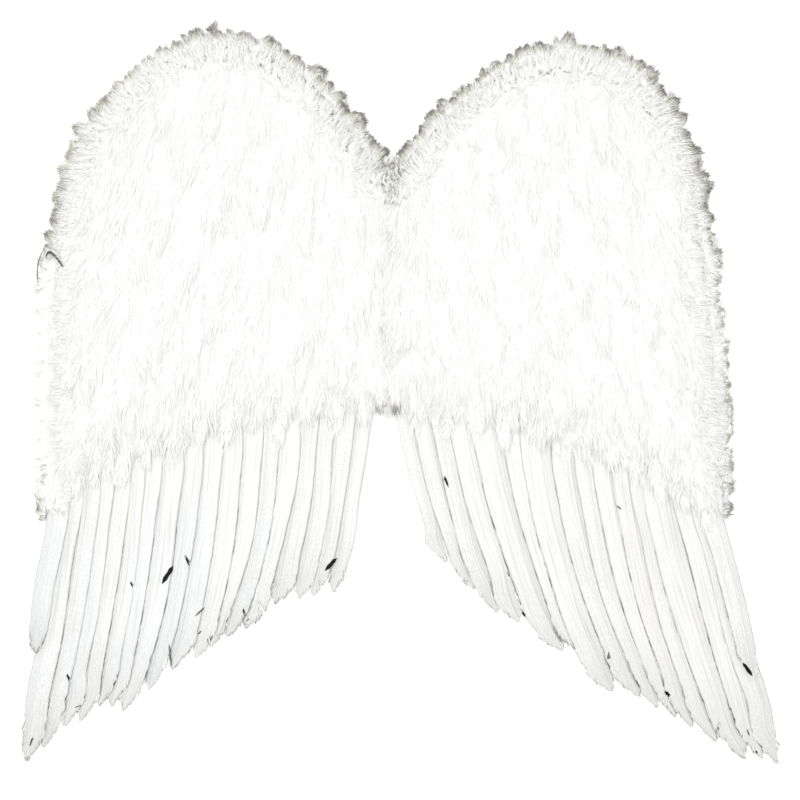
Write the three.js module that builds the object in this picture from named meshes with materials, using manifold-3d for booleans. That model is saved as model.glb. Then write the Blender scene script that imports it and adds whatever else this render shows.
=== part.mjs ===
// Feather costume wings, lying on their back with the feathered front up, in millimetres.
// +X is the wings' right, +Y their top and +Z the front. The origin is the middle of the footprint,
// on the surface that they lie on.
import * as THREE from "three";
import { mergeVertices } from "three/addons/utils/BufferGeometryUtils.js";
import Module from "manifold-3d";

const wasm = await Module();
wasm.setup();

// Heights above the surface
const STRAP_THICKNESS = 1.2;
const FOLD_GAP = 0.3;
const FIT_GAP = 0.3;
const BOARD_BACK = 3;
const BOARD_THICKNESS = 3;
const BOARD_FRONT = BOARD_BACK + BOARD_THICKNESS;
const POCKET_CEILING = 12.3;

// Board: the spine between the lobes, and each lobe's edge from the notch round to its lower outer corner
const SPINE_X = -11;
const EDGE = {
  left: [
    { x: SPINE_X, y: 168 },
    { x: -39, y: 205 },
    { x: -71, y: 247 },
    { x: -112, y: 272 },
    { x: -156, y: 279 },
    { x: -205, y: 256 },
    { x: -243, y: 216 },
    { x: -265, y: 165 },
    { x: -274, y: 108 },
    { x: -276, y: 40 },
    { x: -275, y: -58 },
  ],
  right: [
    { x: SPINE_X, y: 168 },
    { x: 16, y: 199 },
    { x: 52, y: 235 },
    { x: 93, y: 262 },
    { x: 127, y: 270 },
    { x: 165, y: 265 },
    { x: 200, y: 239 },
    { x: 226, y: 190 },
    { x: 235, y: 132 },
    { x: 242, y: 76 },
    { x: 248, y: 0 },
    { x: 250, y: -76 },
  ],
};
const BRIDGE_BOTTOM_Y = 22;
const BOARD_HEM_PULL = { left: { x: -150, y: 10 }, right: { x: 140, y: 5 } };
const EDGE_STEPS = 34;
const EDGE_CROWDING = 1.25;
const HEM_STEPS = 8;

// Down coat: a dome over each lobe with rows of overlapping plume locks
const COAT_INSET = 4;
const COAT_SEAM_GAP = 0.4;
const COAT_CENTRE = { left: { x: -150, y: 105 }, right: { x: 118, y: 95 } };
const COAT_HEM = {
  left: { corner: { x: -269, y: -68 }, pull: { x: -150, y: 2 }, seamY: -3 },
  right: { corner: { x: 245, y: -86 }, pull: { x: 140, y: -15 }, seamY: 0 },
};
const COAT_SEAM_TOP = 8;
const COAT_DOME = [
  { share: 0, z: 27 },
  { share: 0.3, z: 26.5 },
  { share: 0.62, z: 24.5 },
  { share: 0.86, z: 21 },
  { share: 0.97, z: 16.5 },
  { share: 1, z: 13.4 },
];
const COAT_PROFILE = [
  { share: 0, z: BOARD_FRONT + FIT_GAP },
  { share: 0.97, z: BOARD_FRONT + FIT_GAP },
  ...COAT_DOME.toReversed(),
];
const COAT_HEM_STEPS = 12;
const COAT_SEAM_STEPS = 4;
const LOCK_SIDES = 5;
const LOCK_ROW = 38;
const LOCK_COLUMN = 36;
const LOCK = { length: 46, width: 24, thickness: 9, sink: 2.6, lift: 3.6 };
const LOCK_LEAN_PER_MM = 0.00175;
const LOCK_RIM_SHARE = 0.9;
const HEM_LOCK = { count: 12, length: 34, width: 17, thickness: 4.6, rootZ: 15.4, tipZ: 14.8 };
const HEM_OVERHANG = { long: 19, short: 13, lean: 5 };
const HEM_PITCHES_FREE_AT_SEAM = 0.4;

// Marabou trim: its section, outward from the board's edge (out) and up (z), and its spiky locks
const TRIM_SECTION = [
  { out: -3.5, z: BOARD_FRONT + FIT_GAP },
  { out: 0.4, z: BOARD_FRONT + FIT_GAP },
  { out: 0.4, z: 0 },
  { out: 7, z: 0 },
  { out: 11, z: 4 },
  { out: 10, z: 11 },
  { out: 5, z: 17 },
  { out: -3.5, z: 18.5 },
];
const TRIM_CORE = 1;
const TRIM_NOTCH_TAPER = 24;
const TRIM_LOCK = { pitch: 11, width: 10.5, rootOut: 4, rootZ: 8.5, reachMin: 13.5, reachMax: 21, sweep: 7 };
const TRIM_LOCK_TIP_Z = { low: 4, high: 19 };

// Quill feathers: how far each side reaches from the shaft, and sections from root to tip, with the
// vane's reach as shares and the shaft's height above and below the vane in millimetres
const OUTER_VANE = 8;
const INNER_VANE = 12;
const VANE_HALF_THICKNESS = 0.3;
const VANE_TILT = 0.22;
const QUILL_ROOT_Z = 8.6;
const QUILL_SEAT = QUILL_ROOT_Z - BOARD_FRONT - FIT_GAP;
const QUILL_DROOP = 5.2;
const DROOP_START = 0.25;
const DROOP_POWER = 1.3;
const POCKET_CLEARANCE = 6;
const POCKET_REACH = 60;
const POCKET_LENGTH = 240;
const QUILL_SECTIONS = [
  { along: 0, outer: 0.16, inner: 0.1, above: 1, below: 0.65 },
  { along: 0.1, outer: 0.2, inner: 0.13, above: 1, below: 0.65 },
  { along: 0.2, outer: 0.88, inner: 0.86, above: 0.92, below: 0.55 },
  { along: 0.42, outer: 1, inner: 1, above: 0.76, below: 0.45 },
  { along: 0.66, outer: 1, inner: 0.99, above: 0.58, below: 0.38 },
  { along: 0.82, outer: 0.92, inner: 0.84, above: 0.44, below: 0.32 },
  { along: 0.92, outer: 0.72, inner: 0.55, above: 0.34, below: 0.3 },
  { along: 0.975, outer: 0.4, inner: 0.25, above: 0.3, below: 0.3 },
  { along: 1, outer: 0.06, inner: 0.04, above: 0.3, below: 0.3 },
];
// One row for each feather: root, tip, how far the middle bows towards the spine, size, and lift of the tip
const QUILLS = {
  left: [
    { root: [-266.5, -53], tip: [-294, -206], bow: -4, size: 0.85, lift: 3.6 },
    { root: [-252, -10], tip: [-302, -294], bow: -2, size: 1, lift: 0 },
    { root: [-247, -4], tip: [-289, -283], bow: 4, size: 1.05, lift: 0 },
    { root: [-238, -1], tip: [-271, -266], bow: 5, size: 1, lift: 0 },
    { root: [-226, 2], tip: [-259, -262], bow: 6, size: 0.95, lift: 0 },
    { root: [-215, 5], tip: [-244, -250], bow: 7, size: 0.9, lift: 0 },
    { root: [-202, 10], tip: [-234, -250], bow: 9, size: 0.9, lift: 0 },
    { root: [-186, 14], tip: [-224, -253], bow: 10, size: 1.05, lift: 0 },
    { root: [-172, 18], tip: [-204, -237], bow: 10, size: 1, lift: 0 },
    { root: [-157, 26], tip: [-185, -220], bow: 10, size: 1.05, lift: 0 },
    { root: [-141, 30], tip: [-166, -211], bow: 9, size: 1.05, lift: 0 },
    { root: [-125, 34], tip: [-154, -202], bow: 11, size: 1, lift: 0 },
    { root: [-110, 37], tip: [-141, -194], bow: 11, size: 1, lift: 0 },
    { root: [-94, 40], tip: [-126, -187], bow: 11, size: 1.1, lift: 0 },
    { root: [-79, 42], tip: [-102, -167], bow: 8, size: 1, lift: 0 },
    { root: [-63, 44], tip: [-83, -163], bow: 5, size: 0.95, lift: 0 },
    { root: [-48, 46], tip: [-72, -161], bow: 6, size: 1, lift: 0 },
    { root: [-31, 48], tip: [-56, -158], bow: 4, size: 0.78, lift: 0 },
  ],
  right: [
    { root: [0, 54], tip: [35, -134], bow: 7, size: 0.85, lift: 0 },
    { root: [12, 56], tip: [57, -155], bow: 9, size: 0.95, lift: 0 },
    { root: [28, 58], tip: [76, -174], bow: 10, size: 1, lift: 0 },
    { root: [43, 54], tip: [93, -182], bow: 10, size: 1, lift: 0 },
    { root: [65, 46], tip: [128, -205], bow: 15, size: 1.25, lift: 0 },
    { root: [86, 38], tip: [142, -206], bow: 13, size: 1, lift: 0 },
    { root: [105, 30], tip: [168, -238], bow: 17, size: 1.2, lift: 0 },
    { root: [130, 22], tip: [190, -242], bow: 15, size: 1.15, lift: 0 },
    { root: [144, 16], tip: [205, -251], bow: 14, size: 1, lift: 0 },
    { root: [160, 10], tip: [219, -258], bow: 14, size: 0.95, lift: 0 },
    { root: [176, 4], tip: [233, -267], bow: 13, size: 0.95, lift: 0 },
    { root: [189, 0], tip: [252, -278], bow: 14, size: 1, lift: 0 },
    { root: [201, -5], tip: [274, -292], bow: 14, size: 1.25, lift: 0 },
    { root: [212, -10], tip: [289, -292], bow: 4, size: 1.05, lift: 0 },
    { root: [223, -18], tip: [301, -296], bow: 2, size: 1, lift: 0 },
    { root: [239, -60], tip: [281, -226], bow: -4, size: 0.85, lift: 3.6 },
  ],
};

// Elastic shoulder straps: each is sewn on at two heights and folded flat behind the board
const STRAP_WIDTH = 15;
const STRAP_OUT_FROM_SPINE = 46;
const STRAP_UPPER_SEWN_Y = 150;
const STRAP_LOWER_SEWN_Y = 110;
const STRAP_TOP_FOLD_Y = 188;
const STRAP_BOTTOM_FOLD_Y = 40;
const STRAP_FOLD_STEPS = 6;

const MERGE_MM = 1e-4;
const FINISHES = {
  board: { color: 0xf1efe9, roughness: 0.9 },
  down: { color: 0xfbfbf9, roughness: 1 },
  marabou: { color: 0xb9b6b0, roughness: 1 },
  quill: { color: 0xf3f1ea, roughness: 0.7 },
  elastic: { color: 0xf4f4f2, roughness: 0.8 },
};

// A closed mesh as a solid that can be joined and cut: shared vertices merged, collapsed faces dropped
function solidOf(geometry) {
  const bare = geometry.clone();
  bare.deleteAttribute("normal");
  bare.deleteAttribute("uv");
  const merged = mergeVertices(bare, MERGE_MM);
  const triVerts = [];
  for (let i = 0; i < merged.index.count; i += 3) {
    const [a, b, c] = [0, 1, 2].map((k) => merged.index.getX(i + k));
    if (a !== b && b !== c && a !== c) {
      triVerts.push(a, b, c);
    }
  }
  const vertProperties = Float32Array.from(merged.attributes.position.array);
  const mesh = new wasm.Mesh({ numProp: 3, vertProperties, triVerts: Uint32Array.from(triVerts) });
  return new wasm.Manifold(mesh);
}

function geometryOf(solid) {
  const { vertProperties, triVerts } = solid.getMesh();
  const geometry = new THREE.BufferGeometry();
  geometry.setAttribute("position", new THREE.BufferAttribute(Float32Array.from(vertProperties), 3));
  geometry.setIndex(new THREE.BufferAttribute(Uint32Array.from(triVerts), 1));
  geometry.computeVertexNormals();
  return geometry;
}

function joined(geometries) {
  return geometries.map(solidOf).reduce((whole, piece) => whole.add(piece));
}

// Moves every vertex of a straight form to its place on the wings; mirrored forms are turned faces out
function reshaped(geometry, place, mirrored) {
  const position = geometry.attributes.position;
  const point = new THREE.Vector3();
  for (let i = 0; i < position.count; i += 1) {
    point.fromBufferAttribute(position, i);
    const moved = place(point, i);
    position.setXYZ(i, moved.x, moved.y, moved.z);
  }
  if (mirrored) {
    const index = geometry.index ?? indexInOrder(position.count);
    for (let i = 0; i < index.count; i += 3) {
      const first = index.getX(i);
      index.setX(i, index.getX(i + 1));
      index.setX(i + 1, first);
    }
    geometry.setIndex(index);
  }
  geometry.computeVertexNormals();
  return geometry;
}

function indexInOrder(count) {
  return new THREE.BufferAttribute(Uint32Array.from({ length: count }, (_, i) => i), 1);
}

function flat({ x, y }) {
  return new THREE.Vector2(x, y);
}

function edgeCurve(side) {
  return new THREE.SplineCurve(EDGE[side].map(flat));
}

// Shares of the edge's length at which every piece on it has a station, closer together at the notch
function edgeShare(step) {
  return (step / EDGE_STEPS) ** EDGE_CROWDING;
}

// The edge's stations, moved out from the board's edge
function edgeStations(side, out) {
  const curve = edgeCurve(side);
  return Array.from({ length: EDGE_STEPS + 1 }, (_, step) => {
    const share = edgeShare(step);
    return curve.getPointAt(share).addScaledVector(outward(curve, side, share), out);
  });
}

// The edge's outward direction at a share of its length
function outward(curve, side, share) {
  const tangent = curve.getTangentAt(share);
  const turned = new THREE.Vector2(tangent.y, -tangent.x);
  return side === "left" ? turned : turned.negate();
}

function boardGeometry() {
  const left = edgeStations("left", 0);
  const right = edgeStations("right", 0).reverse();
  const shape = new THREE.Shape(left);
  const { left: leftPull, right: rightPull } = BOARD_HEM_PULL;
  shape.quadraticCurveTo(leftPull.x, leftPull.y, SPINE_X, BRIDGE_BOTTOM_Y);
  shape.quadraticCurveTo(rightPull.x, rightPull.y, right[0].x, right[0].y);
  right.slice(1).forEach(({ x, y }) => shape.lineTo(x, y));
  const options = { depth: BOARD_THICKNESS, bevelEnabled: false, curveSegments: HEM_STEPS };
  return new THREE.ExtrudeGeometry(shape, options).translate(0, 0, BOARD_BACK);
}

// The coat's outline: in from the board's edge, along the hem and up the seam, counter-clockwise
function coatRim(side) {
  const seamX = SPINE_X + (side === "left" ? -COAT_SEAM_GAP : COAT_SEAM_GAP) / 2;
  const clearOfSeam = ({ x }) => (side === "left" ? x < seamX : x > seamX);
  const kept = edgeStations(side, -COAT_INSET).filter(clearOfSeam);
  const { corner, pull, seamY } = COAT_HEM[side];
  const seamFoot = new THREE.Vector2(seamX, seamY);
  const hem = new THREE.QuadraticBezierCurve(flat(corner), flat(pull), seamFoot).getPoints(COAT_HEM_STEPS);
  const seamTop = new THREE.Vector2(seamX, EDGE[side][0].y - COAT_SEAM_TOP);
  const seam = new THREE.LineCurve(seamFoot, seamTop).getPoints(COAT_SEAM_STEPS).slice(1);
  const rim = [...kept, ...hem, ...seam];
  return side === "left" ? rim : rim.reverse();
}

// How far out a point lies between the coat's centre and its rim: 0 at the centre, 1 on the rim
function rimShare(point, centre, rim) {
  const ray = point.clone().sub(centre);
  for (let i = 0; i < rim.length; i += 1) {
    const a = rim[i].clone().sub(centre);
    const b = rim[(i + 1) % rim.length].clone().sub(centre);
    const turn = a.cross(b);
    if (a.cross(ray) >= 0 && ray.cross(b) >= 0 && turn > 0) {
      return ray.cross(b.clone().sub(a)) / turn;
    }
  }
  return 0;
}

// Height of the coat's upper surface at a share of the way to its rim
function domeHeight(share) {
  const outer = COAT_DOME.findIndex((row, i) => i > 0 && share <= row.share);
  const [from, to] = [COAT_DOME[outer - 1], COAT_DOME[outer]];
  return THREE.MathUtils.mapLinear(share, from.share, to.share, from.z, to.z);
}

function domeGeometry(centre, rim) {
  const profile = COAT_PROFILE.map(({ share, z }) => new THREE.Vector2(share, z));
  const lathe = new THREE.LatheGeometry(profile, rim.length);
  return reshaped(lathe, (_, i) => {
    const { share, z } = COAT_PROFILE[i % COAT_PROFILE.length];
    const edge = rim[Math.floor(i / COAT_PROFILE.length) % rim.length];
    const spot = centre.clone().lerp(edge, share);
    return new THREE.Vector3(spot.x, spot.y, z);
  });
}

// A flattened pointed tuft from its root to its tip
function lockGeometry(root, tip, width, thickness) {
  const axis = tip.clone().sub(root);
  const cone = new THREE.ConeGeometry(0.5, axis.length(), LOCK_SIDES);
  cone.translate(0, axis.length() / 2, 0);
  cone.scale(width, 1, thickness);
  const along = axis.clone().normalize();
  const across = new THREE.Vector3().crossVectors(along, new THREE.Vector3(0, 0, 1)).normalize();
  const up = new THREE.Vector3().crossVectors(across, along);
  const frame = new THREE.Matrix4().makeBasis(across, along, up).setPosition(root);
  return cone.applyMatrix4(frame);
}

// Rows of plume locks over the dome, each pointing down and out, over the row below it
function coatLocks(centre, rim) {
  const locks = [];
  const xs = rim.map(({ x }) => x);
  const ys = rim.map(({ y }) => y);
  let row = 0;
  for (let y = Math.max(...ys); y > Math.min(...ys); y -= LOCK_ROW) {
    const shift = row % 2 === 0 ? 0 : LOCK_COLUMN / 2;
    for (let x = Math.min(...xs) + shift; x < Math.max(...xs); x += LOCK_COLUMN) {
      const spot = new THREE.Vector2(x, y);
      const lean = LOCK_LEAN_PER_MM * (x - SPINE_X);
      const end = new THREE.Vector2(x + lean * LOCK.length, y - LOCK.length);
      const shares = [spot, end].map((point) => rimShare(point, centre, rim));
      if (shares.every((share) => share < LOCK_RIM_SHARE)) {
        const [rootHeight, tipHeight] = shares.map(domeHeight);
        const root = new THREE.Vector3(spot.x, spot.y, rootHeight - LOCK.sink);
        const tip = new THREE.Vector3(end.x, end.y, tipHeight + LOCK.lift);
        locks.push(lockGeometry(root, tip, LOCK.width, LOCK.thickness));
      }
    }
    row += 1;
  }
  return locks;
}

// The lowest row, which hangs over the quills below the hem
function hemLocks(side) {
  const { corner, pull, seamY } = COAT_HEM[side];
  const hem = new THREE.QuadraticBezierCurve(flat(corner), flat(pull), new THREE.Vector2(SPINE_X, seamY));
  const locks = [];
  for (let i = 0; i < HEM_LOCK.count; i += 1) {
    const spot = hem.getPoint((i + 0.5) / (HEM_LOCK.count + HEM_PITCHES_FREE_AT_SEAM));
    const lean = HEM_OVERHANG.lean * (spot.x - SPINE_X) / Math.abs(corner.x - SPINE_X);
    const overhang = i % 2 === 0 ? HEM_OVERHANG.long : HEM_OVERHANG.short;
    const tip = new THREE.Vector3(spot.x + lean, spot.y - overhang, HEM_LOCK.tipZ);
    const root = new THREE.Vector3(spot.x, spot.y + HEM_LOCK.length - overhang, HEM_LOCK.rootZ);
    locks.push(lockGeometry(root, tip, HEM_LOCK.width, HEM_LOCK.thickness));
  }
  return locks;
}

// The hollow under the coat's lower part, where the quill roots lie on the board
function rootPocket(side) {
  const roots = QUILLS[side].map(({ root }) => new THREE.Vector2(root[0], root[1] + POCKET_CLEARANCE));
  const first = roots[0];
  const last = roots[roots.length - 1];
  const outline = [
    new THREE.Vector2(first.x - POCKET_REACH, first.y),
    ...roots,
    new THREE.Vector2(last.x + POCKET_REACH, last.y),
    new THREE.Vector2(last.x + POCKET_REACH, last.y - POCKET_LENGTH),
    new THREE.Vector2(first.x - POCKET_REACH, first.y - POCKET_LENGTH),
  ];
  const options = { depth: POCKET_CEILING, bevelEnabled: false };
  return new THREE.ExtrudeGeometry(new THREE.Shape(outline), options);
}

function coatGeometry(side) {
  const centre = flat(COAT_CENTRE[side]);
  const rim = coatRim(side);
  const dome = domeGeometry(centre, rim);
  const pocket = solidOf(rootPocket(side));
  const body = joined([dome, ...coatLocks(centre, rim)]).subtract(pocket);
  return geometryOf(body.add(joined(hemLocks(side))));
}

function randomBetween(low, high) {
  return THREE.MathUtils.lerp(low, high, THREE.MathUtils.seededRandom());
}

// The trim's width closes down into the notch, where the two trims meet
function notchTaper(distance) {
  return THREE.MathUtils.clamp(distance / TRIM_NOTCH_TAPER, 0, 1);
}

function trimGeometry(side, seed) {
  const curve = edgeCurve(side);
  const length = curve.getLength();
  const section = new THREE.Shape(TRIM_SECTION.map(({ out, z }) => new THREE.Vector2(out, z)));
  const steps = EDGE_STEPS - 1;
  const straight = new THREE.ExtrudeGeometry(section, { depth: steps, steps, bevelEnabled: false });
  const band = reshaped(straight, ({ x: out, y: z, z: step }) => {
    const share = edgeShare(step + 1);
    const spot = curve.getPointAt(share);
    const beyondCore = Math.max(0, out - TRIM_CORE) * notchTaper(share * length);
    const reach = Math.min(out, TRIM_CORE) + beyondCore;
    spot.addScaledVector(outward(curve, side, share), reach);
    return new THREE.Vector3(spot.x, spot.y, z);
  }, side === "left");
  const locks = [];
  const count = Math.floor((length - TRIM_NOTCH_TAPER) / TRIM_LOCK.pitch);
  THREE.MathUtils.seededRandom(seed);
  for (let i = 0; i < count; i += 1) {
    const share = (TRIM_NOTCH_TAPER + (i + 0.5) * TRIM_LOCK.pitch) / length;
    const spot = curve.getPointAt(share);
    const out = outward(curve, side, share);
    const along = curve.getTangentAt(share);
    const reach = randomBetween(TRIM_LOCK.reachMin, TRIM_LOCK.reachMax);
    const sweep = randomBetween(-TRIM_LOCK.sweep, TRIM_LOCK.sweep);
    const tipZ = randomBetween(TRIM_LOCK_TIP_Z.low, TRIM_LOCK_TIP_Z.high);
    const rootSpot = spot.clone().addScaledVector(out, TRIM_LOCK.rootOut);
    const tipSpot = spot.clone().addScaledVector(out, reach).addScaledVector(along, sweep);
    const root = new THREE.Vector3(rootSpot.x, rootSpot.y, TRIM_LOCK.rootZ);
    const tip = new THREE.Vector3(tipSpot.x, tipSpot.y, tipZ);
    locks.push(lockGeometry(root, tip, TRIM_LOCK.width, TRIM_LOCK.width));
  }
  return geometryOf(joined([band, ...locks]));
}

// A feather's line from root to tip, bowed towards the spine
function quillCurve({ root, tip, bow }, side) {
  const start = new THREE.Vector2(...root);
  const end = new THREE.Vector2(...tip);
  const inward = side === "left" ? 1 : -1;
  const middle = start.clone().lerp(end, 0.5);
  const pull = new THREE.Vector2(middle.x + 2 * bow * inward, middle.y);
  return new THREE.QuadraticBezierCurve(start, pull, end);
}

function droop(along) {
  const run = Math.max(0, (along - DROOP_START) / (1 - DROOP_START));
  return QUILL_DROOP * run ** DROOP_POWER;
}

// A thin blade with a raised shaft; each lies like a slat, its inner side over the next feather in. The
// shaft's end is seated on the board, but a lifted feather lies on its neighbour
function quillGeometry(row, side) {
  const curve = quillCurve(row, side);
  const steps = QUILL_SECTIONS.length - 1;
  const blade = new THREE.BoxGeometry(1, 1, 1, 2, steps, 1);
  return reshaped(blade, ({ x, y, z }) => {
    const { along, outer, inner, above, below } = QUILL_SECTIONS[Math.round((y + 0.5) * steps)];
    const tangent = curve.getTangent(along);
    const out = new THREE.Vector2(tangent.y, -tangent.x).multiplyScalar(side === "left" ? 1 : -1);
    const offset = row.size * (x > 0 ? OUTER_VANE * outer : INNER_VANE * inner) * 2 * x;
    const spot = curve.getPoint(along).addScaledVector(out, offset);
    const seated = along === 0 && row.lift === 0;
    const shaft = z > 0 ? above : -(seated ? QUILL_SEAT : below);
    const thickness = x === 0 ? shaft : 2 * z * VANE_HALF_THICKNESS;
    const height = QUILL_ROOT_Z + row.lift * along - droop(along) - VANE_TILT * offset;
    return new THREE.Vector3(spot.x, spot.y, height + thickness);
  }, side === "right");
}

// A flat band seen from its edge: sewn on, up to the top fold, down to the bottom fold and back up
function strapGeometry(side) {
  const radius = STRAP_THICKNESS + FOLD_GAP / 2;
  const inner = FOLD_GAP / 2;
  const middle = radius;
  const top = STRAP_TOP_FOLD_Y - radius;
  const bottom = STRAP_BOTTOM_FOLD_Y + radius;
  const upper = 2 * radius;
  const half = Math.PI / 2;
  const shape = new THREE.Shape();
  shape.moveTo(STRAP_UPPER_SEWN_Y, upper);
  shape.lineTo(STRAP_UPPER_SEWN_Y, upper - STRAP_THICKNESS);
  shape.lineTo(top, middle + inner);
  shape.absarc(top, middle, inner, half, -half, true);
  shape.lineTo(bottom, STRAP_THICKNESS);
  shape.absarc(bottom, middle, inner, -half, half, true);
  shape.lineTo(STRAP_LOWER_SEWN_Y, upper - STRAP_THICKNESS);
  shape.lineTo(STRAP_LOWER_SEWN_Y, upper);
  shape.lineTo(bottom, upper);
  shape.absarc(bottom, middle, radius, half, -half, false);
  shape.lineTo(top, 0);
  shape.absarc(top, middle, radius, -half, half, false);
  const options = { depth: STRAP_WIDTH, bevelEnabled: false, curveSegments: STRAP_FOLD_STEPS };
  const band = new THREE.ExtrudeGeometry(shape, options);
  const toWing = new THREE.Matrix4().makeBasis(
    new THREE.Vector3(0, 1, 0),
    new THREE.Vector3(0, 0, 1),
    new THREE.Vector3(1, 0, 0),
  );
  const out = side === "left" ? -STRAP_OUT_FROM_SPINE : STRAP_OUT_FROM_SPINE;
  return band.applyMatrix4(toWing).translate(SPINE_X + out - STRAP_WIDTH / 2, 0, 0);
}

function addPiece(group, name, geometry, finish) {
  const mesh = new THREE.Mesh(geometry, new THREE.MeshStandardMaterial({ ...finish, metalness: 0 }));
  mesh.name = name;
  group.add(mesh);
}

function twoDigits(number) {
  return String(number).padStart(2, "0");
}

const group = new THREE.Group();
addPiece(group, "wing_board", boardGeometry(), FINISHES.board);
for (const [side, seed] of [["left", 11], ["right", 23]]) {
  addPiece(group, `plume_coat_${side}`, coatGeometry(side), FINISHES.down);
  addPiece(group, `marabou_trim_${side}`, trimGeometry(side, seed), FINISHES.marabou);
  addPiece(group, `strap_${side}`, strapGeometry(side), FINISHES.elastic);
  QUILLS[side].forEach((row, i) => {
    addPiece(group, `quill_${side}_${twoDigits(i + 1)}`, quillGeometry(row, side), FINISHES.quill);
  });
}

// The origin is the middle of the footprint
const bounds = new THREE.Box3().setFromObject(group);
const middle = bounds.getCenter(new THREE.Vector3());
group.position.set(-middle.x, -middle.y, -bounds.min.z);

export default group;
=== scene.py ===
"""Feather costume wings lying on their back: the looks of every piece, in metres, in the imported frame.

+X is the wings' right, +Y their top and +Z their feathered front.
"""

import logging
import math
from dataclasses import dataclass, field, fields, replace
from enum import Enum

import bmesh
import bpy
import numpy as np
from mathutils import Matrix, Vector
from mathutils.bvhtree import BVHTree


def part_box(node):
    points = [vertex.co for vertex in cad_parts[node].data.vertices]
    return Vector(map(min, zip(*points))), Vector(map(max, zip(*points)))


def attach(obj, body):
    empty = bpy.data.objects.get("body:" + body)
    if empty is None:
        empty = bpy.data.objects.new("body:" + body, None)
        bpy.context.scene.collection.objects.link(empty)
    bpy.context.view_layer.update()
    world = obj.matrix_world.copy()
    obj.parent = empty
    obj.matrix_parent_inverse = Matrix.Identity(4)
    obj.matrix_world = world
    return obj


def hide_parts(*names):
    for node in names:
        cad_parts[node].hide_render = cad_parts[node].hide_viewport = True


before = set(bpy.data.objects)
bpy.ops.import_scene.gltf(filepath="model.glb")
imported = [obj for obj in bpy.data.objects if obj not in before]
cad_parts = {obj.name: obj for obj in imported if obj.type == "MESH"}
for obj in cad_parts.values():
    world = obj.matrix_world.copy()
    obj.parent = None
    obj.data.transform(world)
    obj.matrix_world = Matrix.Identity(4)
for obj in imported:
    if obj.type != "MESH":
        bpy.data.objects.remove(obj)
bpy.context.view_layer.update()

LOG = logging.getLogger("wings")
MM = 0.001
BODY = "root"
MERGE_DISTANCE = 1e-6
FLOOR_CLEARANCE = 0.2 * MM
TINY = 1e-12
UP = np.array([0.0, 0.0, 1.0])


class Side(Enum):
    """One half of the wings, as their wearer's front faces up."""

    LEFT = "left"
    RIGHT = "right"

    @property
    def outward(self) -> float:
        """The sign of X on the way out from the spine."""
        return -1.0 if self is Side.LEFT else 1.0


class Slot(Enum):
    """Names of the material slots for the pieces' finishes."""

    FELT = "felt_board"
    DOWN = "down"
    MARABOU = "marabou"
    QUILL = "quill"
    ELASTIC = "elastic"


def linear(colour: str) -> tuple[float, float, float, float]:
    """Turns an sRGB hex value into linear colour.

    Args:
        colour: Hex value such as "#f4f1e8".

    Returns:
        Linear red, green, blue and an alpha of 1.
    """
    channels = [int(colour[i:i + 2], 16) / 255 for i in (1, 3, 5)]
    lit = [c / 12.92 if c <= 0.04045 else ((c + 0.055) / 1.055) ** 2.4 for c in channels]
    return lit[0], lit[1], lit[2], 1.0


def add_node(
    tree: bpy.types.NodeTree,
    kind: str,
    inputs: dict[str | int, object] | None = None,
    **settings: object,
) -> bpy.types.Node:
    """Adds a node to a material with its settings, values and links.

    Args:
        tree: The material's node tree.
        kind: The node's type name.
        inputs: For each input, by name or place, its value or the output that feeds it.
        settings: The node's own options.

    Returns:
        The new node.
    """
    node = tree.nodes.new(kind)
    for name, value in settings.items():
        setattr(node, name, value)
    for name, value in (inputs or {}).items():
        if isinstance(value, bpy.types.NodeSocket):
            tree.links.new(value, node.inputs[name])
        else:
            node.inputs[name].default_value = value
    return node


def new_material(name: str) -> tuple[bpy.types.Material, bpy.types.NodeTree, bpy.types.Node]:
    """Makes a material with an empty Principled shader.

    Args:
        name: The material's name.

    Returns:
        The material, its node tree and its shader node.
    """
    material = bpy.data.materials.new(name)
    material.use_nodes = True
    return material, material.node_tree, material.node_tree.nodes["Principled BSDF"]


def attribute(tree: bpy.types.NodeTree, name: str) -> bpy.types.NodeSocket:
    """Reads a value that the mesh holds at each of its points."""
    return add_node(tree, "ShaderNodeAttribute", attribute_name=name).outputs["Fac"]


def ramp(
    tree: bpy.types.NodeTree,
    value: bpy.types.NodeSocket,
    start: float,
    end: float,
    low: float = 0.0,
    high: float | bpy.types.NodeSocket = 1.0,
    kind: str = "LINEAR",
) -> bpy.types.NodeSocket:
    """Turns one range of a value into another.

    Args:
        tree: The material's node tree.
        value: The value.
        start: Where the result starts to change.
        end: Where it stops.
        low: The result up to the start.
        high: The result from the end on.
        kind: How it changes between them.

    Returns:
        The result.
    """
    inputs = {0: value, 1: start, 2: end, 3: low, 4: high}
    return add_node(tree, "ShaderNodeMapRange", inputs, interpolation_type=kind).outputs[0]


def blend(
    tree: bpy.types.NodeTree,
    share: bpy.types.NodeSocket,
    first: str | bpy.types.NodeSocket,
    second: str,
) -> bpy.types.NodeSocket:
    """Mixes two colours.

    Args:
        tree: The material's node tree.
        share: Share of the second colour.
        first: The first colour, as a hex value or an output.
        second: The second colour's hex value.

    Returns:
        The mixed colour.
    """
    base = linear(first) if isinstance(first, str) else first
    inputs = {0: share, 6: base, 7: linear(second)}
    return add_node(tree, "ShaderNodeMix", inputs, data_type="RGBA").outputs[2]


def combine(
    tree: bpy.types.NodeTree, operation: str, *values: float | bpy.types.NodeSocket
) -> bpy.types.NodeSocket:
    """Works out one sum of values in a material."""
    return add_node(tree, "ShaderNodeMath", dict(enumerate(values)), operation=operation).outputs[0]


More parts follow.
